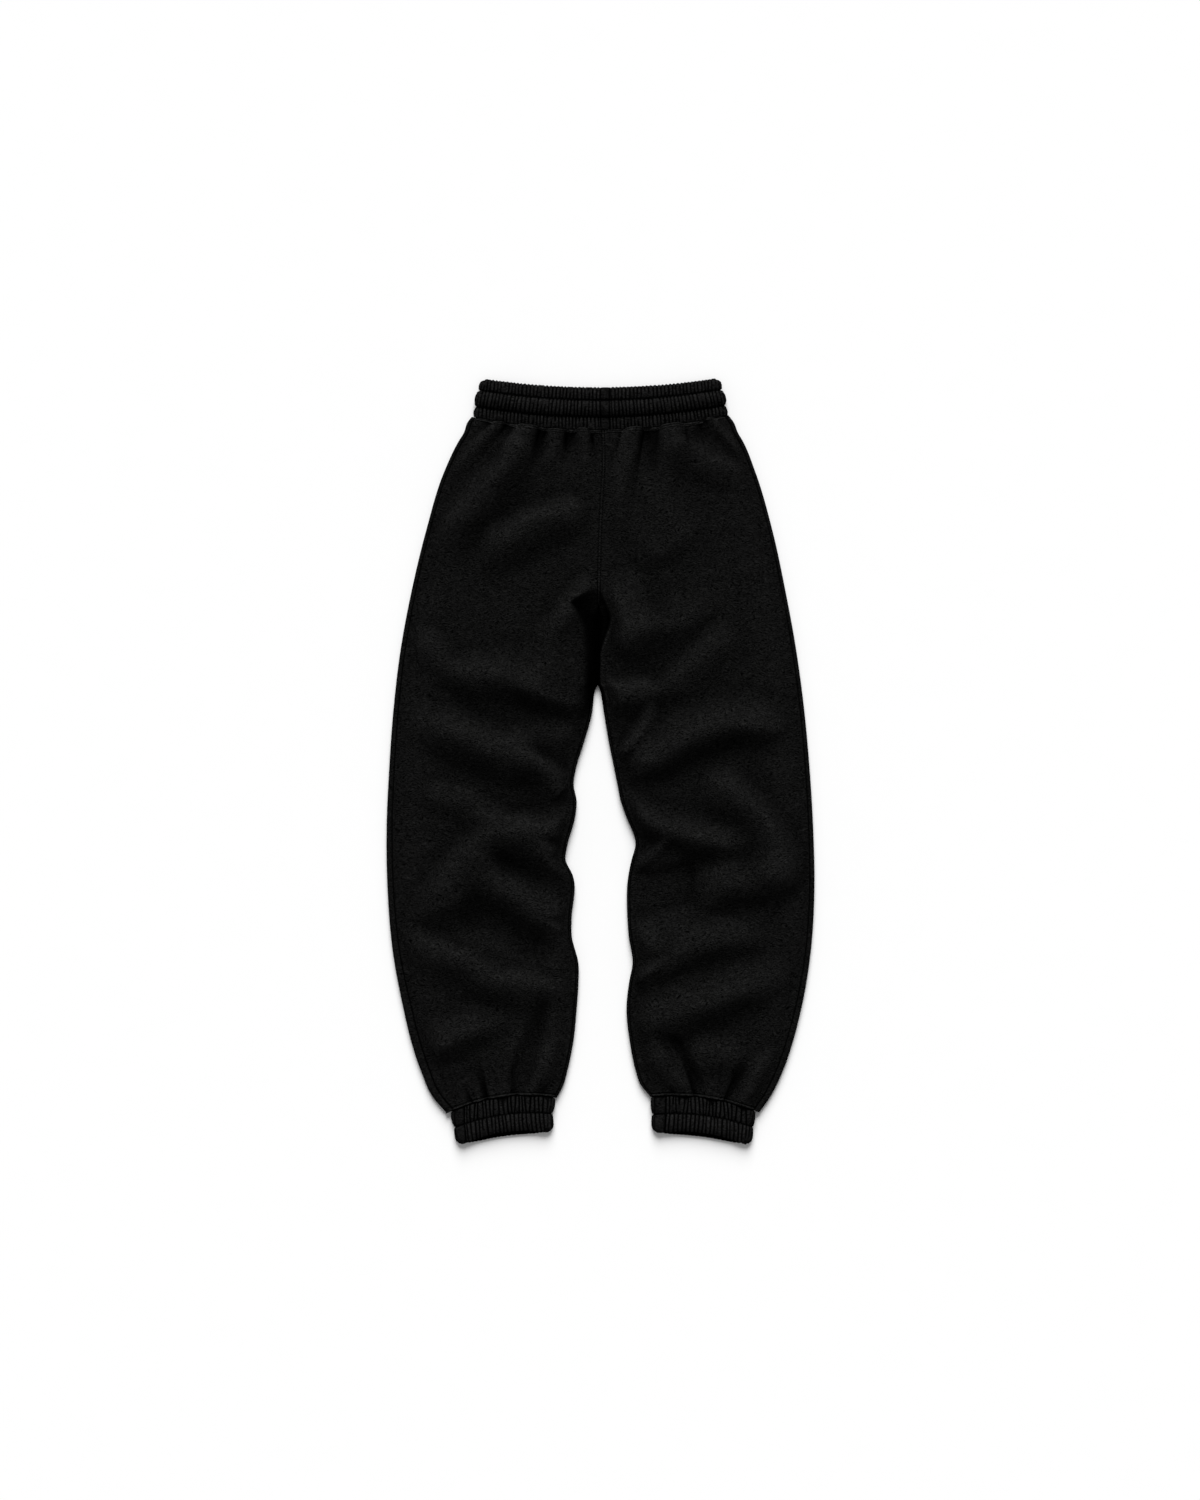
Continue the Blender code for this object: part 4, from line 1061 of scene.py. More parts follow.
def seam_shade(rows, seams, x, y, z):
    """Painted shade and highlights of a front's troughs, puffs, pleats and seams."""
    down, puffs = seams.down, seams.puffs
    sunk = z - spread_out(z, CAVITY_REACH)
    shade = -CAVITY_SHADE * np.clip(sunk / CAVITY_DEPTH, -1.0, 1.0) * starting(down, *CAVITY_START)
    shade = shade + VALLEY_SHADE * valley_share(rows, x, down)
    falling = seam_relief(GATHERS, x - 1.0, down) - seam_relief(GATHERS, x + 1.0, down)
    from_side = np.abs(x - rows.outer_x)
    falling = np.clip(falling / PUFF_FALL, PUFF_NEAR_LIMIT, 1.0)
    shade = shade + PUFF_SHADE * falling * smooth(from_side / PUFF_SIDE)
    nips = np.clip(-pleats_of(rows.leg, x, seams.up) / PLEAT_DEEP, 0.0, 1.0)
    shade = shade + PLEAT_SHADE * nips
    shade = shade + SEAM_SHADE * near(seams.side, SIDE_DARK)
    shown = 1.0 - beside_hollow(y) * (rows.leg == LEFT)
    shade = shade + SEAM_SHADE * rows.split * shown * near(seams.inner, INSEAM_DARK)
    rise = 1.0 - rows.split
    shade = shade + RISE_SHADE * rise * near(seams.inner - RISE_STITCH, RISE_DARK)
    shade = shade - RISE_LIGHT * rise * near(seams.inner, RISE_RIDGE)
    shade = shade - RIDGE_LIGHT * seams.ridges * (1.0 - ON_PUFF_LIGHT * puffs)
    shade = shade + GROOVE_SHADE * seams.grooves * (1.0 - ON_PUFF_SHADE * puffs)
    shade = shade - PUFF_LIGHT * puffs * near(down - PUFF_TOP[0], PUFF_TOP[1])
    return shade - HEM_LIGHT * seams.hem_ridge + HEM_SHADE * seams.hem_grooves


def shade_hollow(rows, x, y, shade):
    """The shade with painted shadow in the crotch's hollow, its painted light rim and its painted dark
    turn.
    """
    right_edge = read_line(HOLLOW, "right", y) + HOLLOW_RIGHT_WALL + HOLLOW_RIM_OUT
    shade = shade - HOLLOW_RIM_LIGHT * beside_hollow(y) * near(x - right_edge, HOLLOW_RIM_WIDTH)
    turning = smooth((x - read_line(HOLLOW, "left", y) + TURN_REACH) / TURN_REACH)
    turning = turning * smooth((TURN_TOP - y) / TURN_TOP_FADE)
    turning = turning * smooth((y - TURN_FOOT) / TURN_FOOT_FADE)
    shade = shade + TURN_SHADE * turning * (rows.leg == RIGHT)
    below_top = smooth((HOLLOW_TOP - HOLLOW_DARKENS[0] - y) / HOLLOW_DARKENS[1])
    deep = HOLLOW_TOP_SHADE + (HOLLOW_SHADE - HOLLOW_TOP_SHADE) * below_top
    crisp = smooth((x - right_edge + HOLLOW_CRISP[0]) / HOLLOW_CRISP[1])
    crisp = crisp * smooth((HOLLOW_RIM_TOP + HOLLOW_CRISP_TOP[0] - y) / HOLLOW_CRISP_TOP[1])
    sunk = hollow_share(x, y)
    soft = spread_out(sunk, HOLLOW_BLUR)
    sunk = soft + (sunk - soft) * crisp
    return shade * (1.0 - sunk) + deep * sunk


print("the hollow's edges stand clear from", HOLLOW_RIM_FOOT, "to", HOLLOW_RIM_TOP, "mm")

# %% [markdown]
# ## Building the fronts
# The grid's columns follow both seams of a front.  The helpers above round and press its
# heights and work out its painted shade, and at the waist the puffs lean out a little over the
# waistband.

# %% Build the fronts
LOWEST_MARK = 0.6               # how far a pressed line may sink below the lowest front


def front_columns(rows):
    """X of every column on every row of a front."""
    start = rows.outer_x + rows.inwards * (rows.lap + SEAM_GAP)
    end = rows.inner_x - rows.inwards * INSEAM_INSET * rows.split
    side = start + rows.inwards * np.array([AT_SIDE])
    inner = end - rows.inwards * np.array([AT_INNER])
    shares = np.linspace(0.0, 1.0, FRONT_COLUMNS + 2)[None, 1:-1]
    middle = side[:, -1:] + (inner[:, :1] - side[:, -1:]) * shares
    return np.hstack([side, middle, inner]), start, end


def puff_over(x):
    """How far the gathers lean out over the waist seam at x."""
    over = np.zeros(x.shape)
    for gather in GATHERS:
        width = np.where(x < gather.x, gather.left, gather.right)
        over += gather.over * (1.0 - np.clip(np.abs(x - gather.x) / width, 0.0, 1.0) ** 4)
    return over


def front_grid(leg):
    """Points of a front's outside, with its painted shade."""
    rows = rows_of[leg]
    x, start, end = front_columns(rows)
    y = rows.y_at(x)
    seams = SeamLines(rows, x, y, start, end)
    z = round_inner_edge(rows, x, front_height(rows, x, y))
    z = np.maximum(press_seams(rows, seams, x, y, z), LOWEST_FRONT - LOWEST_MARK)
    shade = shade_hollow(rows, x, y, seam_shade(rows, seams, x, y, z))
    lean = smooth(seams.down / PUFF_LEAN)
    lean = lean * smooth((PUFF_LEAN_END - seams.down) / (PUFF_LEAN_END - PUFF_LEAN))
    return np.stack([x, y + puff_over(x) * lean, z], axis=-1), np.minimum(shade, 1.0)


pieces = {}
front_grids = {}
for leg in (RIGHT, LEFT):
    outer, shade = front_grid(leg)
    front_grids[leg] = outer
    inner = outer - np.array([0.0, 0.0, WALL])
    name = f"front_{leg}_leg_cloth"
    pieces[name] = wall(name, outer, inner, leg_fleece, shade=shade)

# %% [markdown]
# ## The backs
# A back lies flat on the table.  It wraps over the side edge to the side seam on the front, and
# up round the inner leg to the inseam.  It isn't quite smooth either: where the garment was
# smoothed out by hand, a few long shallow troughs stay in its underside.

# %% Build the backs
LIP_RADIUS = 4.0                # radius of the back's curl at the inner leg
STRIP_STEPS = 4                 # columns of the strip on the front, up to the side seam,
SIDE_TURNS = 12                 # round the side edge,
BACK_COLUMNS = 56               # under the leg,
LIP_TURNS = 8                   # round the inner leg's foot
UPPER_TURNS = 6                 # and up to the inseam
DROP_INSIDE = 0.3               # share of a seam's turn that shows inside
SLIVER = 0.01                   # columns that would meet above the crotch stay this far apart
LAST_DROP = 1.0                 # angle round the side edge up to which the seam's turn shows
STRIP_SHADE = -0.3              # painted light on the strip beyond the side seam, which turns away from the lamp
STRIP_SEAM, LIP_SEAM = 0.9, 1.0         # widths of the painted dark lines at the two seams
TOP_LEVEL = (4.0, 2.0)          # from this height on a wall counts as on top, over this height
HOLLOW_INSIDE, HOLLOW_BACK_FOOT = 12.0, 30.0    # the back gets painted shadow this near the crotch's hollow
RIPPLE, RIPPLE_WAVE, RIPPLE_SIZE = 0.3, 0.35, 34.0      # lift of the underside between troughs
RIPPLE_EDGE, RIPPLE_ENDS = (14.0, 20.0), (440.0, 14.0)  # kept off the sides and the two ends
DEEPEST_TROUGH = 2.0
TROUGHS = [
    Fold(RIGHT, (-200, 330), (-120, 350), (-40, 400), 26, 30, 1.4, 0.4, 0.3),
    Fold(RIGHT, (-190, 180), (-110, 200), (-30, 170), 24, 28, 1.6, 0.4, 0.3),
    Fold(RIGHT, (-230, 20), (-150, 0), (-60, 30), 22, 26, 1.5, 0.4, 0.3),
    Fold(RIGHT, (-240, -110), (-170, -120), (-70, -90), 24, 22, 1.7, 0.3, 0.3),
    Fold(RIGHT, (-220, -250), (-150, -240), (-60, -270), 26, 24, 1.5, 0.4, 0.3),
    Fold(RIGHT, (-170, -330), (-150, -380), (-130, -436), 12, 14, 1.4, 0.4, 0.0),
    Fold(LEFT, (190, 350), (110, 340), (30, 390), 28, 26, 1.5, 0.4, 0.3),
    Fold(LEFT, (210, 160), (130, 190), (40, 160), 24, 28, 1.6, 0.4, 0.3),
    Fold(LEFT, (240, 10), (150, -10), (60, 10), 24, 22, 1.4, 0.3, 0.3),
    Fold(LEFT, (230, -130), (160, -140), (60, -110), 22, 26, 1.7, 0.4, 0.3),
    Fold(LEFT, (210, -270), (140, -250), (60, -280), 24, 24, 1.4, 0.4, 0.3),
    Fold(LEFT, (160, -330), (150, -380), (140, -436), 14, 12, 1.5, 0.4, 0.0),
]


def back_grids(leg):
    """Points of a back's outside and inside, from the side seam round underneath."""
    rows = LegRows(leg, leg_heights()[::BACK_ROW_STEP])
    lip = lip_shape(rows)
    count = len(rows.share)
    width = np.abs(rows.inner_x - rows.outer_x)
    radius = EDGE_HEIGHT / 2.0
    runs, heights, runs_in, heights_in = [], [], [], []

    def add(run, height, run_in, height_in):
        for values, value in ((runs, run), (heights, height), (runs_in, run_in), (heights_in, height_in)):
            values.append(np.broadcast_to(value, (count, 1)))

    for step in np.linspace(0.0, 1.0, STRIP_STEPS + 1)[:-1]:
        run = radius + (rows.lap - radius) * (1.0 - step)
        drop = SEAM_TURN * near(rows.lap - run, SEAM_TURN_WIDTH)
        add(run, EDGE_HEIGHT - drop, run, EDGE_HEIGHT - WALL - drop * DROP_INSIDE)
    inside = radius - WALL
    for turn in np.linspace(0.0, math.pi, SIDE_TURNS + 1):
        drop = SEAM_TURN * near(rows.lap - radius + radius * math.sin(turn), SEAM_TURN_WIDTH)
        drop = drop if turn < LAST_DROP else 0.0
        add(
            radius - radius * math.sin(turn), radius + radius * math.cos(turn) - drop,
            radius - inside * math.sin(turn), radius + inside * math.cos(turn),
        )
    flat_end = width - LIP_RADIUS * rows.split
    for share in np.linspace(0.0, 1.0, BACK_COLUMNS + 1)[1:]:
        run = radius + (flat_end - radius) * share
        add(run, 0.0, run, WALL)
    for turn in np.linspace(0.0, math.pi / 2.0, LIP_TURNS + 1)[1:]:
        run = flat_end + rows.split * LIP_RADIUS * math.sin(turn)
        height = rows.split * LIP_RADIUS * (1.0 - math.cos(turn))
        tiny = (1.0 - rows.split) * SLIVER * turn
        run_in = run - rows.split * WALL * math.sin(turn) + tiny
        add(run + tiny, height, run_in, height + WALL * (1.0 - rows.split * (1.0 - math.cos(turn))))
    radius = lip - LIP_LEVEL
    last = np.arccos(np.clip((radius - INSEAM_INSET) / radius, 0.0, 1.0))
    for share in np.linspace(0.0, 1.0, UPPER_TURNS + 1):
        turn = last * share
        out = width - radius * (1.0 - np.cos(turn))
        rise = LIP_LEVEL + radius * np.sin(turn)
        rise = rise - SEAM_TURN * near((last - turn) * radius, SEAM_TURN_WIDTH)
        out_in = width - radius + (radius - WALL) * np.cos(turn)
        rise_in = LIP_LEVEL + (radius - WALL) * np.sin(turn)
        tiny = (1.0 - rows.split) * (2.0 * SLIVER + SLIVER * share)
        add(
            width + (out - width) * rows.split + tiny, rise * rows.split,
            width + (out_in - width) * rows.split + tiny, rise_in * rows.split + WALL * (1.0 - rows.split),
        )

    def grid(run, height):
        x = rows.outer_x + rows.inwards * np.hstack(run)
        y = rows.y_at(x)
        z = np.hstack(height)
        troughs = sum(fold_height(trough, x, y) for trough in TROUGHS if trough.leg == leg)
        ripples = np.maximum(troughs + RIPPLE + RIPPLE_WAVE * waves(x, y, RIPPLE_SIZE, 21), 0.0)
        from_edge = np.minimum(np.abs(x - rows.outer_x), np.abs(x - rows.inner_x))
        ripples = np.minimum(ripples * beyond(from_edge, RIPPLE_EDGE), DEEPEST_TROUGH)
        end, fade = RIPPLE_ENDS
        ripples = ripples * smooth((rows.inner_y + end) / fade) * smooth((end - rows.inner_y) / fade)
        return np.stack([x, y, z + ripples * smooth(EDGE_HEIGHT - LIP_RADIUS - z)], axis=-1)

    outer = grid(runs, heights)
    x, y, z = outer[..., 0], outer[..., 1], outer[..., 2]
    # Painted shade: light on the strip, dark lines at the seams, painted shadow near the hollow.
    on_top = beyond(z, TOP_LEVEL)
    from_seam = rows.lap - np.abs(x - rows.outer_x)
    shade = on_top * (STRIP_SHADE + SEAM_SHADE * near(from_seam, STRIP_SEAM))
    from_inseam = np.abs(rows.inner_x - x) - INSEAM_INSET
    shade = shade + on_top * rows.split * SEAM_SHADE * near(from_inseam, LIP_SEAM)
    hollow = smooth((y - HOLLOW[-1].y + HOLLOW_BEYOND) / HOLLOW_BACK_FOOT)
    hollow = hollow * (np.abs(x - rows.inner_x) < HOLLOW_INSIDE)
    return outer, grid(runs_in, heights_in), np.minimum(np.maximum(shade, hollow * HOLLOW_SHADE), 1.0)


for leg in (RIGHT, LEFT):
    outer, inner, shade = back_grids(leg)
    name = f"back_{leg}_leg_cloth"
    pieces[name] = wall(name, outer, inner, leg_fleece, shade=shade)

# %% [markdown]
# ## Ribs
# Elastic thread gathers the doubled fleece of the waistband and the cuffs into small upright
# ribs.  Each channel gathers by itself, so its ribs don't line up with the next one's.  They
# are 4 to 7 mm wide, rounded, with narrow dark gaps between, and many lean or run together.
# The gaps are drawn at random, from a fixed seed, along the way round the ring.

# %% Rib gaps
Gap = namedtuple("Gap", "place lean bend depth fade_low fade_high")
WHOLE = (0.0, 0.0)              # the fades of a gap that runs through its whole channel
SHORT_GAPS = 0.04               # share of the gaps that start late, and of those that end early
FADE_START, FADE_RANGE = 0.5, 0.2       # where in the channel they do
FADE_LENGTH, FADE_BELOW, FADE_ABOVE = 0.3, 0.2, 0.1     # a fade's length, and its overhangs
NARROWEST_RIB = 0.5             # keeps a rib's width off zero
LEAST_DEPTH, DEPTH_RANGE = 0.8, 0.2     # depth of the shallowest gap, and how much others add
GAP_BEND = 1.2
PLAIN_GAP = 0.9                 # depth of the gaps at the ends of a plain stretch
GAP_REACH = (0.45, 0.8, 2.2)    # a gap's slope as a share of the rib's width, and its limits
GAP_STEEPNESS = 1.6
CREST_FULL, CREST_POWER = 3.0, 0.7      # a rib this wide has its full painted highlight
CREST_WIDE = (1.6, 9.0, 0.3)    # a wide rib's painted highlight is weaker, down to the last share
CREST_ALONE = 0.35              # painted highlight of a crest with no gap beside it
CREST_SPREAD = (6.0, 4.0, 0.5)  # over these widths a crest's painted highlight spreads out and loses half its light


def draw_gaps(seed, half_round, narrow, wide, lean, plain=(), fan=0.0):
    """Gaps round a ring, none inside the plain stretches.  They fan out towards the legs."""
    random = np.random.RandomState(seed)
    gaps = []
    place = -half_round
    while place < half_round - narrow:
        values = random.uniform(size=7)
        inside = any(low < place < high for low, high in plain)
        if not inside:
            fades = WHOLE
            if values[0] < SHORT_GAPS:
                fades = (FADE_START + FADE_RANGE * values[1], 0.0)
            elif values[0] > 1.0 - SHORT_GAPS:
                fades = (0.0, FADE_START + FADE_RANGE * values[1])
            depth = LEAST_DEPTH + DEPTH_RANGE * values[2]
            slant = lean * (values[3] - 0.5) - fan * math.sin(math.pi * place / half_round)
            gaps.append(Gap(place, slant, GAP_BEND * (values[4] - 0.5), depth, *fades))
        place += narrow + (wide - narrow) * values[5]
    gaps += [Gap(end, 0.0, 0.0, PLAIN_GAP, *WHOLE) for ends in plain for end in ends]
    return sorted(gaps, key=lambda gap: gap.place)


def rib_relief(gaps, places, up):
    """Gaps, and crests for the painted highlight, each from 0 to 1, at places round a ring and a share up
    its channel.
    """
    at = np.array([gap.place + gap.lean * (up - 0.5) + gap.bend * math.sin(math.pi * up) for gap in gaps])
    low = np.array([gap.fade_low for gap in gaps])
    high = np.array([gap.fade_high for gap in gaps])
    depth = np.array([gap.depth for gap in gaps])
    depth = depth * np.where(low > 0.0, smooth((up - low + FADE_BELOW) / FADE_LENGTH), 1.0)
    depth = depth * np.where(high > 0.0, smooth((high + FADE_ABOVE - up) / FADE_LENGTH), 1.0)
    order = np.argsort(at)
    at, depth = at[order], depth[order]
    after = np.clip(np.searchsorted(at, places), 1, len(at) - 1)
    before = after - 1
    width = np.maximum(at[after] - at[before], NARROWEST_RIB)
    reach = np.clip(width * GAP_REACH[0], *GAP_REACH[1:])
    from_before, from_after = np.abs(places - at[before]), np.abs(at[after] - places)
    sunk = depth[before] * (1.0 - np.clip(from_before / reach, 0.0, 1.0)) ** GAP_STEEPNESS
    sunk = sunk + depth[after] * (1.0 - np.clip(from_after / reach, 0.0, 1.0)) ** GAP_STEEPNESS
    nearest = np.minimum(from_before, from_after)
    crest = np.sin(math.pi * np.clip(nearest / width, 0.0, 0.5)) ** CREST_POWER
    crest = crest * np.clip(width / CREST_FULL, 0.0, 1.0)
    crest = crest * np.clip(CREST_WIDE[0] - width / CREST_WIDE[1], CREST_WIDE[2], 1.0)
    beside = np.where(from_before < from_after, depth[before], depth[after])
    crest = crest * (CREST_ALONE + (1.0 - CREST_ALONE) * beside)
    crest = crest * (1.0 - CREST_SPREAD[2] * smooth((width - CREST_SPREAD[0]) / CREST_SPREAD[1]))
    return np.minimum(sunk, 1.0), crest


print("rib helpers are ready")

# %% [markdown]
# ## Rings
# The waistband and each cuff are rings that lie flat: a front, a back on the table and a tight
# turn at either end.  A ring's columns run once round it and its rows run across its channels.
# The smooth ring is made first.  Its ribs are then pushed along its surface's own direction, so
# they stand right at the ends too.  The last edge is a fold, so its rows roll over to the inside.

# %% Ring helper
RING_END = 7.0                  # half width of a ring's rounded ends
CORNER, CORNER_START = 3.4, 0.6         # how far a last edge's corners are cut back, and from where
SIDE_PUFF = 0.8                 # share of a channel's puff that shows at its ends
SWELL_POWER = 0.6               # how full a channel is
RING_AIR = 1.0                  # space between the two layers
HEM_LIFT = 1.6                  # how much more a hem's front is lifted than its back sinks
ROW_CROWDING = 0.055            # how much closer together the rows are at a line of stitches
END_TURNS = 14                  # columns round a ring's ends
EDGE_TURNS = 6                  # rows that roll over its last edge

Nip = namedtuple("Nip", "x half height")        # a dent under the first line of stitches, with painted shade
Ring = namedtuple(
    "Ring",
    "lines channel_rows front_columns back_columns wall roll gaps open_hem nips "
    "slope_shade start_shade first_shade line_shade",
)
# Painted shade of a ring, the first two with a value for each channel: slope_shade is how much
# darker a channel's first side is painted than its last, as light falls across it, start_shade
# is more painted shade on its first side alone, first_shade is painted shade on all of the first
# channel, and line_shade is painted shade in the lines of stitches.


def ring_columns(ring):
    """Columns round a ring: place from -1 to 1, and angle of the section's outside there."""
    down, up = -math.pi / 2.0, math.pi / 2.0
    turns = np.linspace(down, up, END_TURNS + 1)[1:-1]
    back = np.linspace(-1.0, 1.0, ring.back_columns + 1)
    front = np.linspace(1.0, -1.0, ring.front_columns + 1)
    place = np.concatenate([back, np.ones(len(turns)), front, -np.ones(len(turns))])
    angle = np.concatenate(
        [np.full(len(back), down), turns, np.full(len(front), up), math.pi - turns[::-1]]
    )
    return place, angle


def channel_shares(count):
    """Rows of a channel, closer together at its two lines of stitches."""
    even = np.linspace(0.0, 1.0, count + 1)
    return even - ROW_CROWDING * np.sin(2.0 * math.pi * even)


def ring_row(ring, before, after, share, place, angle):
    """One smooth row of a ring's outside and inside."""
    puff = before.puff * math.sin(math.pi * share) ** SWELL_POWER if 0.0 < share < 1.0 else 0.0
    last = after is ring.lines[-1]
    bend = max(0.0, (share - CORNER_START) / (1.0 - CORNER_START))
    corner = CORNER * (1.0 - math.sqrt(1.0 - bend ** 2)) if last else 0.0
    left = before.left_x + (after.left_x - before.left_x) * share + corner
    right = before.right_x + (after.right_x - before.right_x) * share - corner
    end_x = (left + right) / 2.0 + place * ((right - left) / 2.0 - RING_END)
    middle = ring.wall + RING_AIR / 2.0
    top = before.height + (after.height - before.height) * share + puff
    reach = np.where(np.sin(angle) > 1e-6, top - middle, middle)
    x = end_x + (RING_END + SIDE_PUFF * puff) * np.cos(angle)
    z = middle + reach * np.sin(angle)
    y = line_y(before, x) * (1.0 - share) + line_y(after, x) * share
    lifted, lowered = HEM_LIFT * (1.0 - place ** 2), 1.0 - place ** 6
    open_hem = ring.open_hem * last * share ** 3
    y = y + open_hem * np.sin(angle) * np.where(angle > 0.0, lifted, lowered)
    inside_x = end_x + (RING_END - ring.wall) * np.cos(angle)
    inside_z = middle + RING_AIR / 2.0 * np.sin(angle)
    inside_y = line_y(before, inside_x) * (1.0 - share) + line_y(after, inside_x) * share
    inside_y = inside_y + open_hem * np.sin(angle) * np.where(angle > 0.0, lifted, lowered)
    return np.stack([x, y, z], axis=-1), np.stack([inside_x, inside_y, inside_z], axis=-1)


def around(points):
    """Distance round a ring from its centre front, negative towards -X."""
    steps = np.linalg.norm(np.diff(np.vstack([points, points[:1]])[:, [0, 2]], axis=0), axis=1)
    travelled = np.concatenate([[0.0], np.cumsum(steps)[:-1]])
    front = np.where(points[:, 2] > EDGE_HEIGHT, np.abs(points[:, 0] - points[:, 0].mean()), np.inf)
    travelled = travelled[np.argmin(front)] - travelled
    total = steps.sum()
    return (travelled + total / 2.0) % total - total / 2.0


def grid_normals(points):
    """Outward directions of a ring's grid."""
    along = np.gradient(points, axis=0)
    across = np.roll(points, -1, axis=1) - np.roll(points, 1, axis=1)
    normals = np.cross(across, along)
    normals /= np.maximum(np.linalg.norm(normals, axis=-1, keepdims=True), 1e-9)
    middle = points.mean(axis=1, keepdims=True)
    outward = ((points - middle) * normals)[..., 2].sum()
    return normals if outward > 0.0 else -normals


print("ring helpers are ready")

# %% [markdown]
# ## Ribs on a ring
# Each row of the smooth ring is pushed in at the gaps, and the ribs are left standing.  A line
# of stitches holds the ribs flatter and draws the cloth in.  The row gets its painted shade with
# them: gaps and lines of stitches are painted dark and crests get painted highlights.  The legs'
# gathers leave a little painted shadow on the waistband, and a cuff has dented nips, painted
# dark, where the leg is pleated into it.

# %% Ribs on a ring
RIB_DEPTH = 2.0
HELD_FLAT = 2.5                 # a seam holds the ribs flat over this length
LINE_HOLDS, LINE_REACH = 0.45, 0.16     # a line of stitches leaves this share of their depth
LINE_DEPTH, LINE_WIDTH = 0.9, 1.0       # how deep it draws in the cloth, and how wide
NIP_DEPTH, NIP_REACH = 1.6, 1.3         # depth of a nip, and its reach in half widths
WOBBLE, WOBBLE_SIZE = 0.18, 4.0         # unevenness of the cloth between the ribs
FLAT_BELOW = 0.25               # share of the ribs that shows on the table's side
GAP_SHADE = 0.9                 # painted shade at the bottom of a gap between ribs
CREST_LIGHT = 0.56              # painted highlight on a rib's crest
# painted shade over all the ribs, which the crests' painted highlights lift
PLAIN_SHADE = 0.44
UNEVEN_SHADE, UNEVEN_SIZE = 0.1, 7.0    # patches of lighter and darker ribs
START_END, START_FADE = 0.6, 0.45       # up to where a channel's start has its own painted shade
PUFF_SHADOW, PUFF_SHADOW_LENGTH = 0.25, 3.5     # painted shadow of the gathers' tops on the waistband,
PUFF_SHADOW_FULL = 2.0          # fully where they lean out this far
# painted shade in a nip
NIP_SHADE = 0.85
# the lightest that painted highlights may make a ring
LIGHTEST = -0.6
ROLL_IN_GAPS = 0.6              # how much less the last edge rolls out in a gap
ROLL_GAP = 0.02                 # keeps the two last rows of the roll apart
HEM_DARK_ROWS = 8               # rows of an open hem's back that get full painted shadow
FACING = 0.5                    # sine of the section's angle from which it faces up or down


def stitch_distance(ring, channel, share):
    """Share of its channel between a row and the nearest line of stitches."""
    stitched = [1.0]
    if channel > 0 or ring.nips:
        stitched.append(share)
    if channel < len(ring.lines) - 2:
        stitched.append(1.0 - share)
    return min(stitched)


def rib_row(ring, channel, share, row, angle):
    """How far the ribs lift one row of a ring, and its painted shade and highlights."""
    places = around(row)
    gap, crest = rib_relief(ring.gaps[channel], places, share)
    across = abs(ring.lines[channel + 1].left_y - ring.lines[channel].left_y)
    from_line = stitch_distance(ring, channel, share)
    relief = -RIB_DEPTH * gap * (LINE_HOLDS + (1.0 - LINE_HOLDS) * smooth(from_line / LINE_REACH))
    relief = relief * smooth(share * across / HELD_FLAT) if channel == 0 else relief
    line = math.exp(-((from_line * across) / LINE_WIDTH) ** 2)
    relief = relief - LINE_DEPTH * line
    dark = PLAIN_SHADE + GAP_SHADE * gap - CREST_LIGHT * crest + ring.line_shade * line
    row_of_waves = np.full(places.shape, 300.0 * channel)
    dark = dark + UNEVEN_SHADE * waves(places, row_of_waves, UNEVEN_SIZE, 33)
    dark = dark + (0.5 - share) * ring.slope_shade[channel]
    dark = dark + ring.start_shade[channel] * smooth((START_END - share) / START_FADE)
    # painted shadow of the leaning gathers on the band's first channel
    if channel == 0 and not ring.nips:
        over = puff_over(row[:, 0])
        below = smooth(1.0 - (share * across - over) / PUFF_SHADOW_LENGTH)
        dark = dark + PUFF_SHADOW * smooth(over / PUFF_SHADOW_FULL) * below
    if channel == 0:
        dark = dark + ring.first_shade
        for nip in ring.nips:
            aside = np.abs(row[:, 0] - nip.x) / nip.half
            dent = smooth(NIP_REACH - aside - share * across / nip.height)
            dent = dent * (np.sin(angle) > FACING)
            relief = relief * (1.0 - dent) - NIP_DEPTH * dent
            dark = dark * (1.0 - dent) + NIP_SHADE * dent
    row_of_waves = np.full(places.shape, 40.0 * channel + 9.0 * share)
    relief = relief + WOBBLE * waves(places, row_of_waves, WOBBLE_SIZE, 31)
    underneath = np.clip(np.sin(angle) + 1.0, 0.0, 1.0)
    return relief * (FLAT_BELOW + (1.0 - FLAT_BELOW) * underneath), np.clip(dark, LIGHTEST, 1.0)


def ring_grids(ring):
    """Outside and inside of a ring, its shade, and the row numbers of its lines of stitches."""
    place, angle = ring_columns(ring)
    smooth_rows, inside_rows, places, stitch_rows = [], [], [], []
    for channel, (before, after) in enumerate(zip(ring.lines, ring.lines[1:])):
        values = channel_shares(ring.channel_rows[channel])
        for share in values if channel == 0 else values[1:]:
            outside, inside = ring_row(ring, before, after, float(share), place, angle)
            smooth_rows.append(outside)
            inside_rows.append(inside)
            places.append((channel, float(share)))
        stitch_rows.append(len(smooth_rows) - 1)
    outer = np.stack(smooth_rows)
    normals = grid_normals(outer)
    shades = []
    for row, (channel, share) in enumerate(places):
        relief, dark = rib_row(ring, channel, share, outer[row], angle)
        outer[row] += normals[row] * relief[:, None]
        shades.append(dark)
    return outer, np.stack(inside_rows), np.stack(shades), stitch_rows


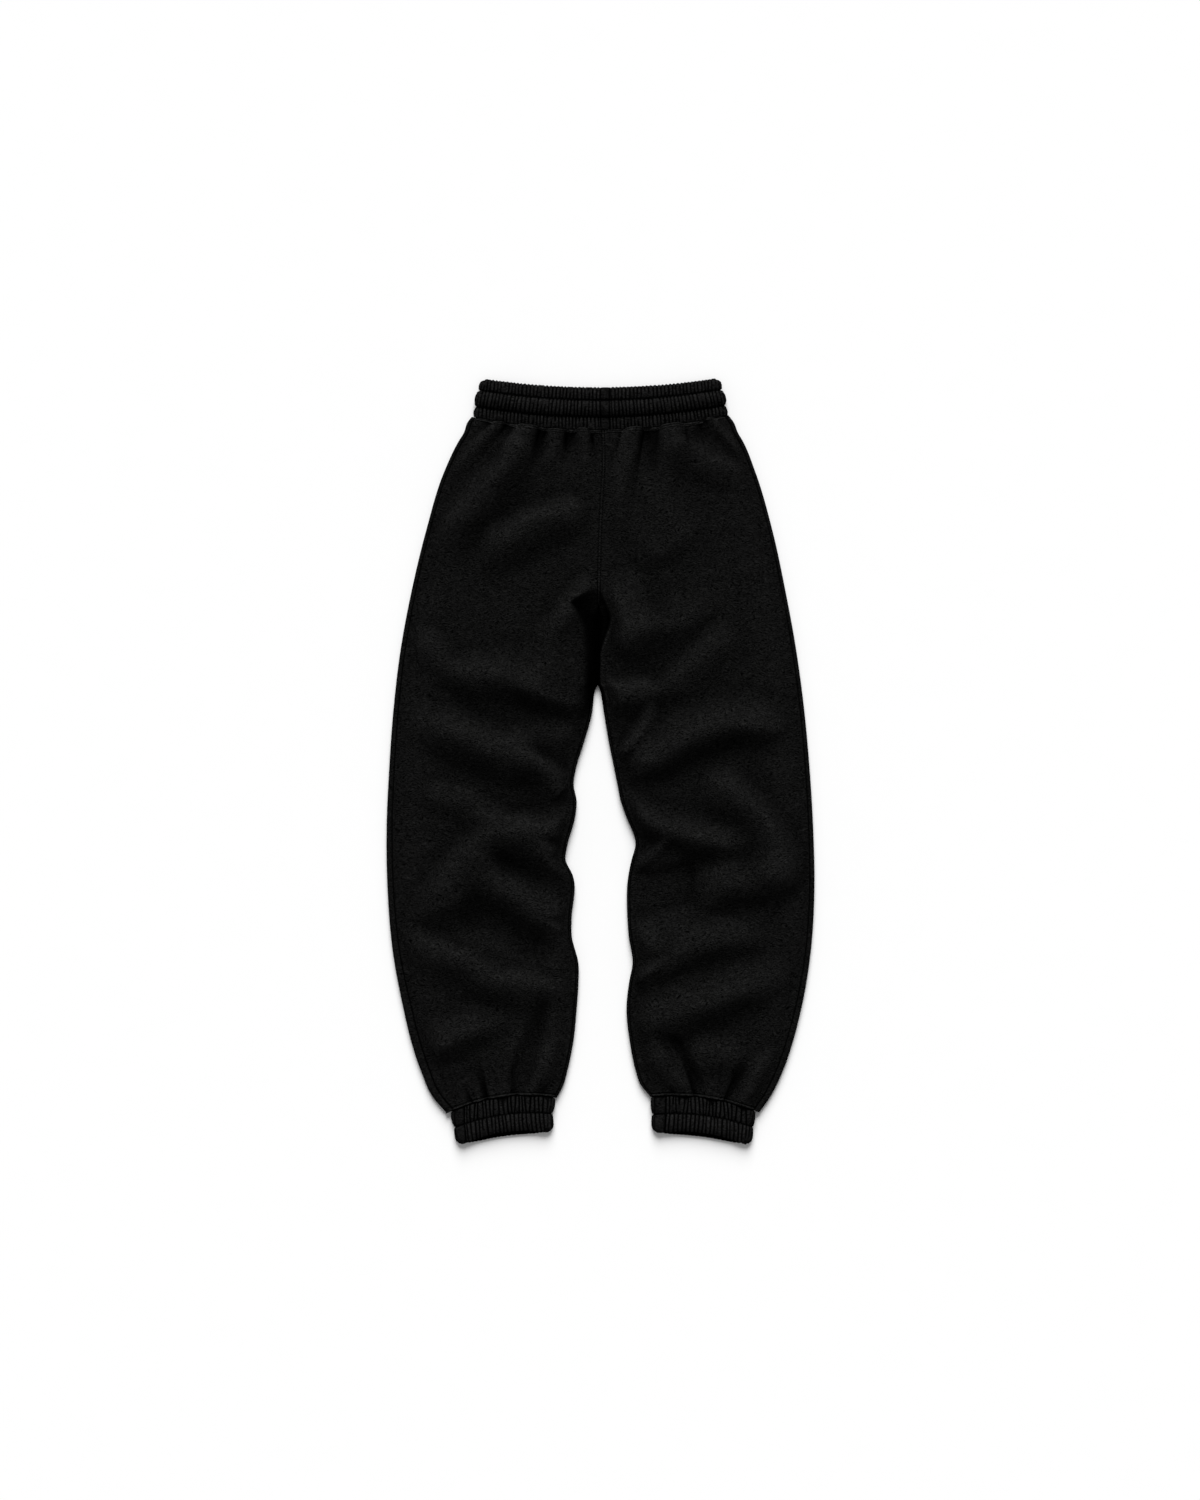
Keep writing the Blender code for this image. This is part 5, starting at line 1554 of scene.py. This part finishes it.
def rolled(ring, outer, inner, shade):
    """Add the rows that roll over the last edge to a ring's outside and inside."""
    step = outer[-1] - outer[-3]
    step[:, [0, 2]] = 0.0
    heading = step / np.maximum(np.linalg.norm(step, axis=1, keepdims=True), 1e-9)
    middle, half = (outer[-1] + inner[-1]) / 2.0, (outer[-1] - inner[-1]) / 2.0
    roll = (ring.roll * (1.0 - ROLL_IN_GAPS * np.clip(shade[-1], 0.0, 1.0)))[:, None]

    def rolling(start, roll):
        turns = np.linspace(start, math.pi / 2.0, EDGE_TURNS + 1)[1:]
        return [middle + half * math.cos(turn) + heading * roll * math.sin(turn) for turn in turns]

    extra, inside = rolling(0.0, roll), rolling(math.pi, roll - ROLL_GAP)
    shade = np.concatenate([shade, np.repeat(shade[-1:], EDGE_TURNS, axis=0)])
    # the back of an open hem gets full painted shadow
    if ring.open_hem:
        angle = ring_columns(ring)[1]
        shade[-EDGE_TURNS - HEM_DARK_ROWS:, np.sin(angle) < -FACING] = 1.0
    return np.concatenate([outer, np.stack(extra)]), np.concatenate([inner, np.stack(inside)]), shade


print("a ring's last edge rolls over in", 2 * EDGE_TURNS, "rows")

# %% [markdown]
# ## The waistband
# Two lines of stitches divide the band into three channels.  The middle one is the fullest, and
# its ribs fan out the most.  A short stretch beside the centre front lies plain between two gaps.

# %% Build the waistband
BAND_HALF_ROUND = 333.0         # half the way round the band
BAND_PLAIN = [(-0.3, 12.3)]     # places of its plain stretch
band = Ring(
    lines=WAISTBAND, channel_rows=(17, 22, 16), front_columns=560, back_columns=210, wall=5.0,
    roll=1.6, open_hem=0.0, nips=[], slope_shade=(-0.6, 0.3, -0.15),
    start_shade=(0.0, 0.08, 0.0), first_shade=0.0, line_shade=0.5,
    gaps=[
        draw_gaps(11, BAND_HALF_ROUND, 4.1, 5.4, lean=1.6, plain=BAND_PLAIN, fan=1.6),
        draw_gaps(12, BAND_HALF_ROUND, 4.2, 5.6, lean=2.4, plain=BAND_PLAIN, fan=4.5),
        draw_gaps(13, BAND_HALF_ROUND, 4.2, 5.5, lean=1.4, plain=BAND_PLAIN, fan=1.6),
    ],
)
band_outer, inner, shade, band_stitch_rows = ring_grids(band)
outer, inner, shade = rolled(band, band_outer, inner, shade)
print([len(gaps) for gaps in band.gaps], "gaps round the waistband's channels")
pieces["waistband_cloth"] = wall("waistband_cloth", outer, inner, band_fleece, ring=True, shade=shade)

# %% [markdown]
# ## The cuffs
# One line of stitches makes two channels.  The hem stays a little open, so the back layer shows
# as a thin line, in painted shadow, beyond the front one.  The nips lie under the pleats of the leg.

# %% Build the cuffs
CUFF_HALF_ROUND = 140.0
CUFF_PLAIN = {RIGHT: [(-64.0, -50.0)], LEFT: [(-64.0, -48.0)]}
CUFF_NIPS = {
    RIGHT: [Nip(-190.0, 7.0, 7.0), Nip(-127.0, 9.0, 12.0), Nip(-70.0, 8.0, 6.0)],
    LEFT: [Nip(80.0, 7.0, 5.0), Nip(111.0, 8.0, 8.0), Nip(144.0, 9.0, 11.0), Nip(186.0, 9.0, 8.0)],
}
cuff_outer = {}
cuff_stitch_rows = {}
for number, leg in enumerate((RIGHT, LEFT)):
    ring = Ring(
        lines=CUFFS[leg], channel_rows=(24, 26), front_columns=270, back_columns=150, wall=4.0,
        roll=1.5, open_hem=2.2, nips=CUFF_NIPS[leg], slope_shade=(-0.1, 0.14),
        start_shade=(0.2, 0.0), first_shade=0.08, line_shade=0.3,
        gaps=[
            draw_gaps(41 + number, CUFF_HALF_ROUND, 3.8, 7.0, lean=5.0, plain=CUFF_PLAIN[leg]),
            draw_gaps(51 + number, CUFF_HALF_ROUND, 4.0, 6.2, lean=1.8, plain=CUFF_PLAIN[leg]),
        ],
    )
    cuff_outer[leg], inner, shade, cuff_stitch_rows[leg] = ring_grids(ring)
    outer, inner, shade = rolled(ring, cuff_outer[leg], inner, shade)
    name = f"{leg}_cuff_cloth"
    pieces[name] = wall(name, outer, inner, cuff_fleece, ring=True, shade=shade)

# %% [markdown]
# ## Stitches
# A lockstitch shows on top as a short bead of thread that dives into the cloth at either end.
# One stitch is modelled by hand: a short six-sided rod lies along X, and its two ends are drawn
# out, down and thinner.

# %% Model one stitch
STITCH_LENGTH = 2.9
STITCH_PITCH = 3.4
STITCH_WIDTH = 0.75
STITCH_SIDES = 6
STITCH_END = 0.55               # width of a stitch's ends as a share of its middle
STITCH_DIP = 0.5                # how deep its ends dive


def select_end(mesh, side):
    """Select only the end face of a stitch that looks along X on the given side."""
    bpy.ops.mesh.select_mode(type="FACE")
    bpy.ops.mesh.select_all(action="DESELECT")
    bpy.ops.object.mode_set(mode="OBJECT")
    for face in mesh.polygons:
        face.select = face.normal.x * side > 0.9
    bpy.ops.object.mode_set(mode="EDIT")


bpy.ops.object.select_all(action="DESELECT")
bpy.ops.mesh.primitive_cylinder_add(
    vertices=STITCH_SIDES, radius=STITCH_WIDTH / 2.0, depth=STITCH_LENGTH * 0.5,
    rotation=(0.0, math.pi / 2.0, 0.0),
)
stitch = bpy.context.object
bpy.ops.object.transform_apply(location=False, rotation=True, scale=False)
bpy.ops.object.mode_set(mode="EDIT")
for side in (-1.0, 1.0):
    select_end(stitch.data, side)
    move = (side * STITCH_LENGTH * 0.25, 0.0, -STITCH_DIP)
    bpy.ops.mesh.extrude_region_move(TRANSFORM_OT_translate={"value": move})
    middle = (side * STITCH_LENGTH * 0.5, 0.0, -STITCH_DIP)
    bpy.ops.transform.resize(value=(1.0, STITCH_END, STITCH_END), center_override=middle)
bpy.ops.object.mode_set(mode="OBJECT")


def from_lowest(numbers):
    """A face's corners, starting with the lowest number."""
    first = numbers.index(min(numbers))
    return tuple(numbers[first:] + numbers[:first])


# The operators number the points differently from run to run, so they are numbered by place.
stitch_points = np.array([tuple(vertex.co) for vertex in stitch.data.vertices])
order = sorted(range(len(stitch_points)), key=lambda number: tuple(stitch_points[number].round(3)))
corners = [[order.index(old) for old in face.vertices] for face in stitch.data.polygons]
stitch_faces = sorted(from_lowest(numbers) for numbers in corners)
stitch_points = stitch_points[order]
stitch_size = [round(float(size), 2) for size in np.ptp(stitch_points, axis=0)]
bpy.data.objects.remove(stitch)
print("one stitch measures", stitch_size, "mm")

# %% [markdown]
# ## Sewing
# The stitch's shape is copied along each seam, at an even pitch that fills the way exactly.  It
# is turned to follow the cloth there.  There are hundreds of stitches, so those of one seam are
# joined into one piece.  The rise seam has a row on either side, down to the hollow, the
# waistband has two lines all round, and each cuff has one.

# %% Sew the seams
PATH_SMOOTHING = 5              # points over which a row of stitches is drawn straight
THREAD_LIFT = 0.15              # how far the thread's middle stands above the cloth it lies on


def evened(values, closed):
    """A path's values averaged over their neighbours."""
    reach = PATH_SMOOTHING
    padded = np.pad(values, ((reach, reach), (0, 0)), mode="wrap" if closed else "edge")
    box = np.ones(2 * reach + 1) / (2 * reach + 1)
    return np.stack([np.convolve(padded[:, axis], box, mode="valid") for axis in range(3)], axis=1)


def sew(name, paths):
    """One piece of stitches along paths of points, outward directions and whether they close."""
    points, faces = [], []
    for path, normals, closed in paths:
        path, normals = evened(path, closed), evened(normals, closed)
        if closed:
            path, normals = np.vstack([path, path[:1]]), np.vstack([normals, normals[:1]])
        travelled = np.concatenate([[0.0], np.cumsum(np.linalg.norm(np.diff(path, axis=0), axis=1))])
        count = int(travelled[-1] / STITCH_PITCH)
        for number in range(count):
            middle = (number + 0.5) * travelled[-1] / count
            wanted = np.array([middle - STITCH_LENGTH / 2.0, middle, middle + STITCH_LENGTH / 2.0])
            at = np.stack([np.interp(wanted, travelled, path[:, axis]) for axis in range(3)], axis=1)
            up = np.array([np.interp(middle, travelled, normals[:, axis]) for axis in range(3)])
            along = (at[2] - at[0]) / np.linalg.norm(at[2] - at[0])
            up = up - along * (up @ along)
            up /= np.linalg.norm(up)
            turned = stitch_points @ np.stack([along, np.cross(up, along), up])
            first = len(stitch_points) * len(points)
            faces += [tuple(first + corner for corner in face) for face in stitch_faces]
            points.append(turned + at.mean(axis=0) + up * THREAD_LIFT)
    mesh = bpy.data.meshes.new(name)
    mesh.from_pydata((np.vstack(points) * MM).tolist(), [], faces)
    mesh.materials.append(black_thread)
    mesh.shade_smooth()
    piece = bpy.data.objects.new(name, mesh)
    bpy.context.scene.collection.objects.link(piece)
    print(name, len(points), "stitches")
    return piece


RISE_STITCH_START = 3.0         # the topstitching starts this far below the waist
RISE_STITCH_END = 232.0         # and ends above the hollow
stitches = {}
up_column = AT_INNER.index(RISE_STITCH) - len(AT_INNER)
for leg in (RIGHT, LEFT):
    column = front_grids[leg][:, up_column]
    first_y = column[0, 1] - RISE_STITCH_START
    column = column[(column[:, 1] > RISE_STITCH_END) & (column[:, 1] < first_y)]
    upward = np.tile([0.0, 0.0, 1.0], (len(column), 1))
    stitches[f"front_{leg}_leg"] = sew(f"{leg}_rise_stitches", [(column, upward, False)])
directions = grid_normals(band_outer)
lines = [(band_outer[row], directions[row], True) for row in band_stitch_rows[:2]]
stitches["waistband"] = sew("waistband_stitches", lines)
for leg in (RIGHT, LEFT):
    row = cuff_stitch_rows[leg][0]
    directions = grid_normals(cuff_outer[leg])
    stitches[f"{leg}_cuff"] = sew(f"{leg}_cuff_stitches", [(cuff_outer[leg][row], directions[row], True)])

# %% [markdown]
# ## Attach the pieces
# Each cloth stands for its solid, which is hidden, and rides on the one body.  The rows of
# thread ride on it too.

for leg in (RIGHT, LEFT):
    for face in ("front", "back"):
        piece = pieces[f"{face}_{leg}_leg_cloth"]
        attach(piece, "root")
        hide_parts(f"{face}_{leg}_leg")
for name, cut in (("waistband", (0.94, 0.056)), ("right_cuff", (0.38, 0.05)), ("left_cuff", (0.38, 0.05))):
    piece = pieces[f"{name}_cloth"]
    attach(piece, "root")
    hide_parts(name)
for piece in stitches.values():
    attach(piece, "root")
print(len(pieces), "pieces of cloth and", len(stitches), "of thread")
